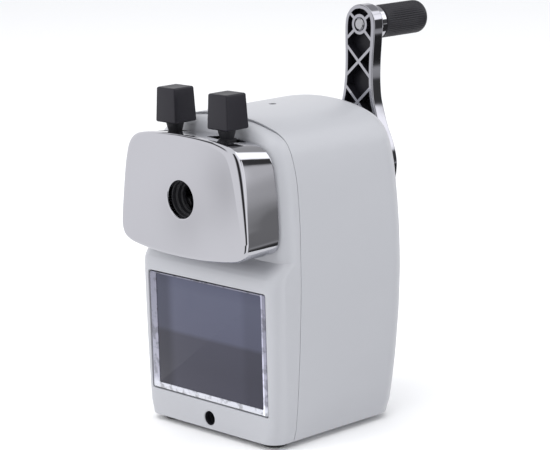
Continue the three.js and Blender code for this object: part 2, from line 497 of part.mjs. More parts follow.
// towards the rear the top of the plate slopes down and its sides spread a little
const spread = table([[66, 0], [71, 0.3], [79, 0.9], [86, 0.95], [92, 1.3], [98, 1.3]]);
const plateAt = (y) => {
  const t = Math.max(0, (y - PLATE_FRONT_Y - 2) / (PLATE_REAR_Y - PLATE_FRONT_Y - 2));
  return PLATE.map(([x, z]) => {
    const top = Math.min(1, Math.max(0, (z - 89) / 7));
    return [x + Math.sign(x) * spread(z) * t * Math.min(1, Math.abs(x) / 20), z - 1.3 * t * top];
  });
};
{
  const outer = ringBody([
    ...[90, 60, 30, 0].map((d) => d * Math.PI / 180).map((a) => PLATE.map(([x, z], i) => {
      const r = PLATE_R[i], d = r * (1 - Math.cos(a));
      return [x - PLATE_N[i][0] * d, PLATE_FRONT_Y + r - r * Math.sin(a), z - PLATE_N[i][1] * d];
    })),
    insetRing(plateAt(PLATE_REAR_Y), PLATE_N, 0, (z) => (z > 90 ? PLATE_REAR_Y - 0.06 * (z - 90) : PLATE_REAR_Y))]);
  const step = PLATE_R.map((r) => Math.max(0.2, 0.6 * (r - PLATE_WALL)));
  const inner = ringBody([
    PLATE.map(([x, z], i) => [x - PLATE_N[i][0] * (PLATE_WALL + step[i]), PLATE_FRONT_Y + PLATE_WALL, z - PLATE_N[i][1] * (PLATE_WALL + step[i])]),
    PLATE.map(([x, z], i) => [x - PLATE_N[i][0] * PLATE_WALL, PLATE_FRONT_Y + PLATE_WALL + step[i], z - PLATE_N[i][1] * PLATE_WALL]),
    insetRing(plateAt(10), PLATE_N, PLATE_WALL, () => 10)]);
  let s = cut(outer, inner);
  s = cut(s, cylY(PENCIL_HOLE_R, -12, -8, 0, AXIS_Z, 24));
  s = cut(s, box(7.4, 18.4, -5.2, 2.0, 94, 104), box(-18.4, -7.4, -5.2, 2.0, 94, 104));
  piece('face_plate', s, CHROME);

  // backing plate with the rod sleeves
  const back = plateAt(2.1).map(([x, z], i) => [x - PLATE_N[i][0] * 2.0, Math.min(z - PLATE_N[i][1] * 2.0, 94.9)]);
  let b = alongY(back, 0.6, 2.1);
  for (const d of [-1, 1]) {
    b = join(b, cylY(3.9, -4.0, 1.0, d * ROD_X, AXIS_Z, 16));
    b = cut(b, cylY(2.3, -6, 4, d * ROD_X, AXIS_Z, 16));
  }
  b = cut(b, cylY(4.8, -6, 4, 0, AXIS_Z, 24));
  piece('plate_backing', b, INNER);

  for (const [n, d] of [['left', -1], ['right', 1]]) {
    piece(`guide_rod_${n}`, latheY([[0, -3.4], [1.7, -3.4], [ROD_R, -3.1], [ROD_R, 48.4], [1.5, 49.0], [0, 49.0]], d * ROD_X, AXIS_Z, 16), STEEL);
    piece(`rod_clip_${n}`, latheY([[2.3, 46.2], [4.2, 46.2], [4.2, 47.1], [2.3, 47.1], [2.3, 46.2]], d * ROD_X, AXIS_Z, 16), ZINC);
  }

  // chuck body: stepped rings seen inside the pencil hole
  let c = latheY([[5.8, -8.5], [8.6, -8.5], [8.6, -3.7], [4.7, -3.7], [4.7, -5.2], [5.2, -5.2], [5.2, -6.8], [5.8, -6.8], [5.8, -8.5]], 0, AXIS_Z, 24);
  for (const d of [-1, 1]) {
    c = join(c, box(Math.min(d * 7.8, d * 13.6), Math.max(d * 7.8, d * 13.6), -8.5, -6.4, AXIS_Z - 2.8, AXIS_Z + 2.8));
    c = cut(c, cylY(1.3, -10, 0, d * 11.4, AXIS_Z, 12));
    piece(d < 0 ? 'chuck_screw_left' : 'chuck_screw_right', latheY([[0, -8.4], [1.0, -8.4], [1.0, -6.1], [2.0, -6.1], [2.0, -5.3], [1.3, -4.8], [0, -4.8]], d * 11.4, AXIS_Z, 10), ZINC);
  }
  piece('chuck_body', c, INNER);
}

// ---------------------------------------------------------------- levers, knobs, jaws
{
  for (const [n, d, y0, y1] of [['left', -1, -3.3, -2.1], ['right', 1, -1.7, -0.5]]) {
    let s = latheY([[7.5, y0], [10.2, y0], [10.2, y1], [7.5, y1], [7.5, y0]], 0, AXIS_Z, 24);
    const arm = [[d * 6.0, 87.2], [d * 9.6, 82.4], [d * 14.2, 93.0], [d * 14.2, 98.0], [d * 10.0, 98.0], [d * 10.0, 93.5]];
    s = join(s, alongY(d > 0 ? arm : arm.slice().reverse(), y0, y1).subtract(cylY(8.8, -6, 3, 0, AXIS_Z, 24)));
    // stem through the slot of the face plate, then a pin for the knob
    s = join(s, box(Math.min(d * 10.0, d * 14.2), Math.max(d * 10.0, d * 14.2), Math.min(y0, -2.8), 1.5, 96.6, 98.4));
    s = join(s, latheZ([[0, 98.0], [2.1, 98.0], [2.9, 101.1], [1.5, 101.1], [1.5, 108.0], [0, 108.0]], d * KNOB_X, -0.65, 20));
    piece(`lever_${n}`, s, INNER);

    // tapered square knob
    const k = new THREE.CylinderGeometry(4.25 * Math.SQRT2, 4.7 * Math.SQRT2, KNOB_Z1 - KNOB_Z0, 4, 1).rotateY(Math.PI / 4).rotateX(Math.PI / 2);
    k.translate(d * KNOB_X, -0.1, (KNOB_Z0 + KNOB_Z1) / 2);
    const knob = cut(solid(k), cylZ(1.85, 95, 108.6, d * KNOB_X, -0.65, 20));
    piece(`lever_knob_${n}`, knob, BLACK);
  }
  [90, 210, 330].forEach((a, i) => {
    const jaw = extrude([[3.6, -0.8], [5.0, -2.0], [5.8, -2.0], [5.8, 2.0], [5.0, 2.0], [3.6, 0.8]], 3.4);
    jaw.applyMatrix4(basis([1, 0, 0], [0, 0, 1], [0, 1, 0]));
    jaw.rotateY(-a * Math.PI / 180);
    piece(`chuck_jaw_${i + 1}`, solid(jaw.translate(0, -3.3, AXIS_Z)), STEEL);
  });
}

// ---------------------------------------------------------------- springs
class Helix extends THREE.Curve {
  constructor(r, length, turns) { super(); this.r = r; this.length = length; this.turns = turns; }
  getPoint(t, v = new THREE.Vector3()) {
    const a = t * this.turns * 2 * Math.PI;
    return v.set(this.r * Math.cos(a), t * this.length, this.r * Math.sin(a));
  }
}
function spring(r, wire, length, turns, sides = 3, per = 7) {
  const sec = [];
  for (let k = 0; k < sides; k++) sec.push([wire * Math.cos(2 * Math.PI * k / sides), wire * Math.sin(2 * Math.PI * k / sides)]);
  return new THREE.ExtrudeGeometry(shapeOf(sec), { steps: turns * per, extrudePath: new Helix(r, length, turns), bevelEnabled: false });
}
piece('feed_spring_left', solid(spring(2.95, 0.35, 31.0, 7).translate(-ROD_X, 14.6, AXIS_Z)), STEEL);
piece('feed_spring_right', solid(spring(2.95, 0.35, 31.0, 7).translate(ROD_X, 14.6, AXIS_Z)), STEEL);
piece('lever_spring', solid(spring(1.3, 0.25, 18.4, 6).rotateZ(-Math.PI / 2).translate(-9.2, -1.9, 94.6)), STEEL);

// ---------------------------------------------------------------- shavings drawer
{
  const w = DRAWER_HALF_W;
  let s = box(-w, w, DRAWER_FRONT_Y, DRAWER_DEPTH, DRAWER_Z0, DRAWER_Z1);
  s = cut(s, alongZ(rounded([[-w + 1.6, 1.3], [w - 1.6, 1.3], [w - 1.6, DRAWER_DEPTH - 1.6], [-w + 1.6, DRAWER_DEPTH - 1.6]], 1.5, 3), DRAWER_Z0 + 1.8, 60));
  piece('shavings_drawer', s, SMOKE);
}

export default group;
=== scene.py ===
import json
import math

import bmesh
import bpy
import numpy as np
from mathutils import Matrix, Vector


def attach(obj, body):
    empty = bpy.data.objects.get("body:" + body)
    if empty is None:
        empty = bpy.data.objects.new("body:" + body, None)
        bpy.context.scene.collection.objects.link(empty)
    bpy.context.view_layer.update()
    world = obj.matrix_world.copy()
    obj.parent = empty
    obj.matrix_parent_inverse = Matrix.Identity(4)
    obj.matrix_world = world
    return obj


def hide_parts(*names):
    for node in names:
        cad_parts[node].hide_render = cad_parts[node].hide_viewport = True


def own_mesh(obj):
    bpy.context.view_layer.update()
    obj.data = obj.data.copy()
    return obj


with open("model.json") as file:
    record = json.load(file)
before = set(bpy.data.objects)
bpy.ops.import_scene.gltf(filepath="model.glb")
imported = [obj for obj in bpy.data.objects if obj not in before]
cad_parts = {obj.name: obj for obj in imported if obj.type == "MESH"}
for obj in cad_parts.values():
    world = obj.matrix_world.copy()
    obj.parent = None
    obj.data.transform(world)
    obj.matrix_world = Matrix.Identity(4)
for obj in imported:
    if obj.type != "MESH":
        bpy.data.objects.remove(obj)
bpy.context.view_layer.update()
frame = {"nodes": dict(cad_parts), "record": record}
NODES = frame["nodes"]
scene = bpy.context.scene

# All shapes below are written in millimetres with y = 0 just behind the front of the
# drawer and z = 0 on the floor, and moved to the row frame when a mesh is made.
ORIGIN_Y = 45.15
AXIS_Z = 79.0
GRIP_Z = AXIS_Z + 46.7
WALL = 2.0
rad = math.radians


def P(x, y, z):
    return Vector((x / 1000, (y - ORIGIN_Y) / 1000, z / 1000))


# ------------------------------------------------------------------ mesh helpers
def new_object(name, verts, faces, smooth=35.0, material=None):
    mesh = bpy.data.meshes.new(name)
    mesh.from_pydata([P(*v) for v in verts], [], faces)
    mesh.update()
    bm = bmesh.new()
    bm.from_mesh(mesh)
    bmesh.ops.remove_doubles(bm, verts=bm.verts, dist=2e-6)
    bmesh.ops.dissolve_degenerate(bm, edges=bm.edges, dist=1e-6)
    bmesh.ops.recalc_face_normals(bm, faces=bm.faces)
    bm.to_mesh(mesh)
    bm.free()
    ob = bpy.data.objects.new(name, mesh)
    scene.collection.objects.link(ob)
    shade(ob, smooth)
    if material:
        mesh.materials.append(material)
    return ob


def shade(ob, angle):
    for p in ob.data.polygons:
        p.use_smooth = True
    ob.data.set_sharp_from_angle(angle=rad(angle))


def boolean(ob, other, operation="DIFFERENCE", smooth=35.0):
    """Applies a boolean and removes the tool."""
    m = ob.modifiers.new("b", "BOOLEAN")
    m.operation = operation
    m.solver = "EXACT"
    m.object = other
    bpy.context.view_layer.update()
    dg = bpy.context.evaluated_depsgraph_get()
    mesh = bpy.data.meshes.new_from_object(ob.evaluated_get(dg))
    ob.modifiers.clear()
    old = ob.data
    ob.data = mesh
    mesh.name = ob.name
    bpy.data.meshes.remove(old)
    bpy.data.objects.remove(other)
    shade(ob, smooth)
    return ob


def soften(ob):
    """Normals weighted by face area, so that flat faces stay flat beside their rounded edges."""
    m = ob.modifiers.new("normals", "WEIGHTED_NORMAL")
    m.keep_sharp = True
    m.weight = 60
    return ob


def catmull(pts, step):
    """Points along a smooth curve through pts, about step apart; keeps the given points."""
    p = [np.array(q, float) for q in pts]
    p = [2 * p[0] - p[1]] + p + [2 * p[-1] - p[-2]]
    out = []
    for i in range(1, len(p) - 2):
        a, b, c, d = p[i - 1], p[i], p[i + 1], p[i + 2]
        t0 = 0.0
        t1 = t0 + max(1e-6, np.linalg.norm(b - a)) ** 0.5
        t2 = t1 + max(1e-6, np.linalg.norm(c - b)) ** 0.5
        t3 = t2 + max(1e-6, np.linalg.norm(d - c)) ** 0.5
        n = max(1, int(round(np.linalg.norm(c - b) / step)))
        for k in range(n):
            t = t1 + (t2 - t1) * k / n
            a1 = (t1 - t) / (t1 - t0) * a + (t - t0) / (t1 - t0) * b
            a2 = (t2 - t) / (t2 - t1) * b + (t - t1) / (t2 - t1) * c
            a3 = (t3 - t) / (t3 - t2) * c + (t - t2) / (t3 - t2) * d
            b1 = (t2 - t) / (t2 - t0) * a1 + (t - t0) / (t2 - t0) * a2
            b2 = (t3 - t) / (t3 - t1) * a2 + (t - t1) / (t3 - t1) * a3
            out.append((t2 - t) / (t2 - t1) * b1 + (t - t1) / (t2 - t1) * b2)
    out.append(p[-2])
    return [(float(q[0]), float(q[1])) for q in out]


def mirrored(half):
    """Closed outline from the right half: bottom middle, up the right side, top middle, down the left."""
    half = list(half)
    half[0] = (0.0, half[0][1])
    half[-1] = (0.0, half[-1][1])
    return half + [(-x, z) for x, z in half[1:-1][::-1]]


def outward(pts):
    n = len(pts)
    out = []
    for i in range(n):
        ax, az = pts[i - 1]
        bx, bz = pts[(i + 1) % n]
        tx, tz = bx - ax, bz - az
        l = math.hypot(tx, tz) or 1.0
        out.append((tz / l, -tx / l))
    return out


def inset_ring(pts, nor, d, y_of):
    ring = []
    for (x, z), (nx, nz) in zip(pts, nor):
        X = 0.0 if abs(x) < 1e-9 else x - nx * d
        ring.append((X, y_of(z), z - nz * d))
    return ring


def loft(rings, caps="strips"):
    """Vertices and faces of a closed body through rings of equal length."""
    n = len(rings[0])
    verts = [v for r in rings for v in r]
    faces = []
    for k in range(len(rings) - 1):
        for i in range(n):
            j = (i + 1) % n
            faces.append((k * n + i, k * n + j, (k + 1) * n + j, (k + 1) * n + i))
    for o in (0, (len(rings) - 1) * n):
        if caps == "strips":
            for i in range(n // 2):
                q = [i, i + 1, (n - i - 1) % n, (n - i) % n]
                q = [o + a for a in dict.fromkeys(q)]
                if len(q) > 2:
                    faces.append(tuple(q))
        elif caps == "flat":
            faces.append(tuple(range(o, o + n)))
    return verts, faces


def table(rows):
    xs, ys = zip(*rows)
    return lambda t: float(np.interp(t, xs, ys))


def lathe(name, profile, x=0.0, z=AXIS_Z, n=64, material=None, smooth=30.0, wobble=None):
    """Profile of (radius, y) turned about a line along Y; radius 0 ends are closed with a fan."""
    verts, faces, idx = [], [], []
    for r, y in profile:
        if r < 1e-6:
            idx.append([len(verts)] * n)
            verts.append((x, y, z))
        else:
            ring = []
            for k in range(n):
                a = 2 * math.pi * k / n
                rr = r * (wobble(a, y) if wobble else 1.0)
                ring.append(len(verts))
                verts.append((x + rr * math.cos(a), y, z + rr * math.sin(a)))
            idx.append(ring)
    for a, b in zip(idx, idx[1:]):
        for k in range(n):
            j = (k + 1) % n
            q = list(dict.fromkeys([a[k], a[j], b[j], b[k]]))
            if len(q) > 2:
                faces.append(tuple(q))
    return new_object(name, verts, faces, smooth, material)


def prism(name, pts, y0, y1, smooth=35.0):
    n = len(pts)
    verts = [(x, y0, z) for x, z in pts] + [(x, y1, z) for x, z in pts]
    faces = [tuple(range(n)), tuple(range(n, 2 * n))[::-1]]
    for i in range(n):
        j = (i + 1) % n
        faces.append((i, j, n + j, n + i))
    return new_object(name, verts, faces, smooth)


def block(name, x0, x1, y0, y1, z0, z1):
    return prism(name, [(x0, z0), (x1, z0), (x1, z1), (x0, z1)], y0, y1)


def round_rect(x0, x1, z0, z1, r, seg=6):
    out = []
    for cx, cz, a0 in ((x1 - r, z0 + r, -90), (x1 - r, z1 - r, 0), (x0 + r, z1 - r, 90), (x0 + r, z0 + r, 180)):
        for k in range(seg + 1):
            a = rad(a0 + 90 * k / seg)
            out.append((cx + r * math.cos(a), cz + r * math.sin(a)))
    return out


def flared(name, outline, layers):
    """Cutter along Y whose outline grows at its mouth. outline(grow) gives points; layers are (y, grow)."""
    rings = [[(x, y, z) for x, z in outline(g)] for y, g in layers]
    v, f = loft(rings, "flat")
    return new_object(name, v, f)


# ------------------------------------------------------------------ materials
def material(name, base, rough=0.4, metal=0.0, tint=0.06, scale=120.0, grain=900.0, bump=0.05,
             rough_spread=0.06, coat=0.0, coat_rough=0.1, stretch=None, specular=0.5, alpha=1.0, distance=0.00005):
    m = bpy.data.materials.new(name)
    m.use_nodes = True
    nt = m.node_tree
    nt.nodes.clear()
    L = nt.links.new
    out = nt.nodes.new("ShaderNodeOutputMaterial")
    b = nt.nodes.new("ShaderNodeBsdfPrincipled")
    L(b.outputs[0], out.inputs[0])
    b.inputs["Metallic"].default_value = metal
    b.inputs["Specular IOR Level"].default_value = specular
    b.inputs["Coat Weight"].default_value = coat
    b.inputs["Coat Roughness"].default_value = coat_rough
    b.inputs["Alpha"].default_value = alpha
    tc = nt.nodes.new("ShaderNodeTexCoord")
    mp = nt.nodes.new("ShaderNodeMapping")
    if stretch:
        mp.inputs["Scale"].default_value = stretch
    L(tc.outputs["Object"], mp.inputs["Vector"])
    big = nt.nodes.new("ShaderNodeTexNoise")
    big.inputs["Scale"].default_value = scale
    big.inputs["Detail"].default_value = 3
    L(mp.outputs[0], big.inputs["Vector"])
    mix = nt.nodes.new("ShaderNodeMix")
    mix.data_type = "RGBA"
    lo = [c * (1 - tint) for c in base] + [1]
    hi = [min(1, c * (1 + tint)) for c in base] + [1]
    mix.inputs[6].default_value = lo
    mix.inputs[7].default_value = hi
    L(big.outputs["Fac"], mix.inputs[0])
    L(mix.outputs[2], b.inputs["Base Color"])
    fine = nt.nodes.new("ShaderNodeTexNoise")
    fine.inputs["Scale"].default_value = grain
    fine.inputs["Detail"].default_value = 4
    L(mp.outputs[0], fine.inputs["Vector"])
    rng = nt.nodes.new("ShaderNodeMapRange")
    rng.inputs["To Min"].default_value = max(0.01, rough - rough_spread)
    rng.inputs["To Max"].default_value = min(1, rough + rough_spread)
    L(big.outputs["Fac"], rng.inputs["Value"])
    L(rng.outputs[0], b.inputs["Roughness"])
    if bump:
        bn = nt.nodes.new("ShaderNodeBump")
        bn.inputs["Strength"].default_value = bump
        bn.inputs["Distance"].default_value = distance
        L(fine.outputs["Fac"], bn.inputs["Height"])
        L(bn.outputs[0], b.inputs["Normal"])
    m.diffuse_color = (*base, 1)
    return m


BODY = material("painted_body_grey", (0.432, 0.438, 0.465), 0.38, tint=0.018, scale=35, grain=1500, bump=0.05, coat=0.2, coat_rough=0.25, rough_spread=0.05)
CHROME = material("polished_chrome", (0.62, 0.62, 0.655), 0.045, 1.0, tint=0.02, scale=60, grain=400, bump=0.0, rough_spread=0.02)
ARM_CHROME = material("arm_polished_chrome", (0.46, 0.46, 0.495), 0.045, 1.0, tint=0.02, scale=60, grain=400, bump=0.0, rough_spread=0.02)
# near-black version of the chrome for the arm's pockets: painted shade in the recesses
POCKET_SHADE = material("pocket_chrome_painted_shade", (0.0125, 0.012, 0.016), 0.36, 0.1, tint=0.35, scale=90, grain=700, bump=0.04, specular=0.28)
BLACK = material("black_moulded_plastic", (0.0135, 0.0125, 0.018), 0.40, tint=0.10, scale=200, grain=2600, bump=0.14, rough_spread=0.06, specular=0.36)
GRIP = material("black_grip_plastic", (0.0145, 0.014, 0.018), 0.44, tint=0.14, scale=160, grain=2400, bump=0.16, specular=0.34)
INNER = material("black_inner_plastic", (0.022, 0.022, 0.026), 0.5, tint=0.15, scale=150, grain=2000, bump=0.15)
RUBBER = material("black_rubber", (0.012, 0.012, 0.013), 0.8, tint=0.2, scale=300, grain=3000, bump=0.3)
STEEL = material("ground_steel", (0.50, 0.50, 0.52), 0.28, 1.0, tint=0.08, scale=300, grain=1600, bump=0.08, stretch=(1, 0.12, 1))
ZINC = material("die_cast_zinc", (0.40, 0.41, 0.43), 0.42, 1.0, tint=0.12, scale=180, grain=1400, bump=0.2)
BRASS = material("turned_brass", (0.62, 0.44, 0.20), 0.3, 1.0, tint=0.08, scale=220, grain=1200, bump=0.08, stretch=(1, 5, 1))


def smoked():
    """Dark clear plastic whose colour holds painted light and shade of the hollow behind it: lighter above the middle,
    with a band of painted shade along the left side and a fainter one along the right.
    """
    m = material("smoked_pane_painted_light_shade", (0.075, 0.077, 0.10), 0.09, tint=0.05, scale=25, grain=500, bump=0.0, rough_spread=0.03, specular=0.3)
    nt = m.node_tree
    L = nt.links.new
    b = next(n for n in nt.nodes if n.type == "BSDF_PRINCIPLED")
    tc = next(n for n in nt.nodes if n.type == "TEX_COORD")
    sep = nt.nodes.new("ShaderNodeSeparateXYZ")
    L(tc.outputs["Object"], sep.inputs[0])
    # painted light and shade by height: darker below, lighter above the middle
    ramp = nt.nodes.new("ShaderNodeValToRGB")
    rng = nt.nodes.new("ShaderNodeMapRange")
    rng.inputs["From Min"].default_value = 0.0113
    rng.inputs["From Max"].default_value = 0.0506
    L(sep.outputs["Z"], rng.inputs["Value"])
    L(rng.outputs[0], ramp.inputs[0])
    e = ramp.color_ramp.elements
    e[0].position, e[0].color = 0.0, (0.052, 0.051, 0.073, 1)
    e[1].position, e[1].color = 1.0, (0.085, 0.090, 0.138, 1)
    for p, c in ((0.25, (0.049, 0.049, 0.069, 1)), (0.50, (0.055, 0.055, 0.077, 1)), (0.54, (0.085, 0.089, 0.132, 1)), (0.88, (0.098, 0.104, 0.153, 1))):
        n = e.new(p)
        n.color = c
    # painted shade along the left side of the pane
    side = nt.nodes.new("ShaderNodeMapRange")
    side.interpolation_type = "SMOOTHSTEP"
    side.inputs["From Min"].default_value = -0.0200
    side.inputs["From Max"].default_value = -0.0150
    side.inputs["To Min"].default_value = 0.60
    side.inputs["To Max"].default_value = 1.0
    L(sep.outputs["X"], side.inputs["Value"])
    mul = nt.nodes.new("ShaderNodeMix")
    mul.data_type = "RGBA"
    mul.blend_type = "MULTIPLY"
    mul.inputs[0].default_value = 1.0
    L(ramp.outputs[0], mul.inputs[6])
    # fainter painted shade along the right side of the pane
    other = nt.nodes.new("ShaderNodeMapRange")
    other.interpolation_type = "SMOOTHSTEP"
    other.inputs["From Min"].default_value = 0.0150
    other.inputs["From Max"].default_value = 0.0190
    other.inputs["To Min"].default_value = 1.0
    other.inputs["To Max"].default_value = 0.84
    L(sep.outputs["X"], other.inputs["Value"])
    both = nt.nodes.new("ShaderNodeMath")
    both.operation = "MULTIPLY"
    L(side.outputs[0], both.inputs[0])
    L(other.outputs[0], both.inputs[1])
    L(both.outputs[0], mul.inputs[7])
    L(mul.outputs[2], b.inputs["Base Color"])
    return m


SMOKED_PAINTED_LIGHT_SHADE = smoked()
def clear_edge():
    """Cut edges of clear plastic, brighter towards the bottom: painted light where they gather light, with a painted
    highlight line along the right edge beside the pane.
    """
    m = material("clear_plastic_edge_painted_light", (0.30, 0.31, 0.37), 0.16, tint=0.30, scale=420, grain=900, bump=0.05, coat=0.5, coat_rough=0.05)
    nt = m.node_tree
    L = nt.links.new
    b = next(n for n in nt.nodes if n.type == "BSDF_PRINCIPLED")
    tc = next(n for n in nt.nodes if n.type == "TEX_COORD")
    noise = next(n for n in nt.nodes if n.type == "TEX_NOISE" and n.inputs["Scale"].default_value == 420)
    sep = nt.nodes.new("ShaderNodeSeparateXYZ")
    L(tc.outputs["Object"], sep.inputs[0])
    # painted light: brighter towards the bottom, darker towards the top
    rng = nt.nodes.new("ShaderNodeMapRange")
    rng.inputs["From Min"].default_value = 0.0113
    rng.inputs["From Max"].default_value = 0.0506
    L(sep.outputs["Z"], rng.inputs["Value"])
    ramp = nt.nodes.new("ShaderNodeValToRGB")
    e = ramp.color_ramp.elements
    e[0].position, e[0].color = 0.0, (0.62, 0.63, 0.68, 1)
    e[1].position, e[1].color = 1.0, (0.20, 0.20, 0.26, 1)
    for p, c in ((0.05, (0.60, 0.61, 0.68, 1)), (0.09, (0.40, 0.40, 0.48, 1)), (0.45, (0.29, 0.29, 0.36, 1)), (0.6, (0.235, 0.235, 0.30, 1))):
        k = e.new(p)
        k.color = c
    L(rng.outputs[0], ramp.inputs[0])
    dark = nt.nodes.new("ShaderNodeMapRange")
    dark.inputs["From Min"].default_value = 0.38
    dark.inputs["From Max"].default_value = 0.52
    dark.inputs["To Min"].default_value = 0.55
    dark.inputs["To Max"].default_value = 1.0
    L(noise.outputs["Fac"], dark.inputs["Value"])
    mul = nt.nodes.new("ShaderNodeMix")
    mul.data_type = "RGBA"
    mul.blend_type = "MULTIPLY"
    mul.inputs[0].default_value = 1.0
    L(ramp.outputs[0], mul.inputs[6])
    # painted highlight: a thin bright line along the right edge next to the pane
    line = nt.nodes.new("ShaderNodeMapRange")
    line.inputs["From Min"].default_value = 0.02590
    line.inputs["From Max"].default_value = 0.02600
    line.inputs["To Min"].default_value = 1.9
    line.inputs["To Max"].default_value = 1.0
    L(sep.outputs["X"], line.inputs["Value"])
    edge = nt.nodes.new("ShaderNodeMapRange")
    edge.inputs["From Min"].default_value = 0.0250
    edge.inputs["From Max"].default_value = 0.0253
    edge.inputs["To Min"].default_value = 0.0
    edge.inputs["To Max"].default_value = 1.0
    L(sep.outputs["X"], edge.inputs["Value"])
    pick = nt.nodes.new("ShaderNodeMix")
    pick.data_type = "FLOAT"
    pick.inputs[2].default_value = 1.0
    L(edge.outputs[0], pick.inputs[0])
    L(line.outputs[0], pick.inputs[3])
    both = nt.nodes.new("ShaderNodeMath")
    both.operation = "MULTIPLY"
    L(dark.outputs[0], both.inputs[0])
    L(pick.outputs[0], both.inputs[1])
    L(both.outputs[0], mul.inputs[7])
    L(mul.outputs[2], b.inputs["Base Color"])
    return m


CLEAR_EDGE_PAINTED_LIGHT = clear_edge()
# near-black for the walls of small holes: painted shade inside the bores
BORE_SHADE = material("bore_painted_shade", (0.012, 0.012, 0.016), 0.6, tint=0.2, scale=300, grain=2000, bump=0.1, specular=0.2)
BIN = material("smoked_bin_wall", (0.055, 0.056, 0.072), 0.16, tint=0.10, scale=120, grain=900, bump=0.03, coat=0.4, coat_rough=0.06)

# ------------------------------------------------------------------ outlines
HALF = [(0, -8), (27.9, -8), (31.25, 5.9), (31.6, 12), (32.0, 24), (32.3, 38), (32.35, 50.5), (32.3, 53.5), (32.27, 55.5),
        (32.24, 57), (32.2, 58.3), (32.17, 59.2), (32.15, 60.0), (31.95, 68), (31.65, 74), (31.2, 80), (30.5, 85.5), (29.5, 90),
        (28.1, 94), (26.0, 97.3), (23.4, 99.6), (20, 101.2), (16, 102.45), (11, 103.4), (5.5, 104.0), (0, 104.2)]
lower = [(0.0, -8.0), (14.0, -8.0), (27.9, -8.0)]
ledge = [(27.9 + 3.35 * t, -8 + 13.9 * t) for t in (0.25, 0.5, 0.7, 0.8, 0.9)]
upper = catmull(HALF[2:7], 3.0)[:-1] + catmull(HALF[6:13], 0.55)[:-1] + catmull(HALF[12:], 1.0)
OUT = mirrored(lower + ledge + upper)
OUT_N = outward(OUT)
rearY = table([(0, 54.2), (8, 55.6), (22, 57.8), (37, 59.4), (50, 60.2), (62, 60.4), (76, 60.0), (90, 59.8), (104, 59.6)])
seamY = table([(0, 7.0), (15, 8.2), (30, 9.1), (47, 10.0), (56, 10.4), (70, 10.9), (84, 11.2), (97, 11.2), (99.6, 10.7), (101.3, 10.0), (102.6, 9.5), (103.6, 9.1), (104.4, 8.8)])


def frontY(z):
    # flat face, then a concave-free sweep up to the recessed face behind the plate
    return float(np.interp(z, [0, 53.0, 54.2, 55.5, 57.0, 58.3, 59.2, 60.0, 110], [-1.2, -1.2, -1.08, -0.7, 0.3, 1.8, 3.2, 4.2, 4.2]))


def arcs(n):
    return [rad(90 * k / n) for k in range(n + 1)]


# ------------------------------------------------------------------ housing shell
R = 8.0
rings = [inset_ring(OUT, OUT_N, 0.22, lambda z: seamY(z) + 0.05), inset_ring(OUT, OUT_N, 0.06, lambda z: seamY(z) + 0.11),
         inset_ring(OUT, OUT_N, 0.0, lambda z: seamY(z) + 0.27), inset_ring(OUT, OUT_N, 0.0, lambda z: seamY(z) + 0.5)]
rings += [inset_ring(OUT, OUT_N, 0.0, lambda z, t=t: seamY(z) + 0.5 + (rearY(z) - R - seamY(z) - 0.5) * t) for t in (0.33, 0.66)]
rings += [inset_ring(OUT, OUT_N, R * (1 - math.cos(a)), lambda z, a=a: rearY(z) - R + R * math.sin(a)) for a in arcs(9)]
shell = new_object("housing_shell_skin", *loft(rings), 32, BODY)
Ri = R - WALL
rings = [inset_ring(OUT, OUT_N, WALL, lambda z: seamY(z) - 2.0)]
rings += [inset_ring(OUT, OUT_N, WALL + Ri * (1 - math.cos(a)), lambda z, a=a: rearY(z) - WALL - Ri + Ri * math.sin(a)) for a in arcs(4)]
core = new_object("core", *loft(rings))
boolean(core, block("t", -27.9, 27.9, -5, 51.7, -12, 5.0), "UNION")
boolean(core, block("t", -40, 40, -9, 70, -12, 2.0), "UNION")
# an inner hollow that keeps the lip at the bottom
low = new_object("low", *loft([[(x, y, z) for x, z in mirrored([(0, -7.9), (36, -7.9), (36, 4.8), (0, 4.8)])] for y in (-9, 75)], "flat"))
boolean(low, block("t", -28.0, 28.0, -12, 51.6, -12, 6), "DIFFERENCE")
boolean(core, low, "DIFFERENCE")
boolean(shell, core)
boolean(shell, block("t", -45, 45, -12, 80, -12, 2.0))
boolean(shell, lathe("t", [(0, 56.0), (11.9, 56.0), (11.5, 60.6), (10.9, 63.4), (10.4, 64.0), (0, 64.0)]), "UNION")
boolean(shell, lathe("t", [(0, 50), (6.5, 50), (6.5, 63.6), (6.9, 64.0), (6.9, 70), (0, 70)]))


def roof_drill():
    v, f = [], []
    n = 40
    for r, z in ((1.3, 98), (1.3, 104.0), (1.42, 104.15), (1.42, 110)):
        v += [(r * math.cos(2 * math.pi * k / n), 30.8 + r * math.sin(2 * math.pi * k / n), z) for k in range(n)]
    for k in range(3):
        f += [(k * n + i, k * n + (i + 1) % n, (k + 1) * n + (i + 1) % n, (k + 1) * n + i) for i in range(n)]
    f += [tuple(range(n)), tuple(range(3 * n, 4 * n))]
    return new_object("t", v, f)


boolean(shell, roof_drill(), smooth=32)
# the walls of the roof hole take the painted shade
shell.data.materials.append(BORE_SHADE)
for p in shell.data.polygons:
    c = p.center
    if math.hypot(c.x * 1000, c.y * 1000 + ORIGIN_Y - 30.8) < 1.36 and c.z * 1000 > 100 and abs(p.normal.z) < 0.5:
        p.material_index = 1
soften(shell)
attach(shell, "housing")
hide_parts("housing_shell")

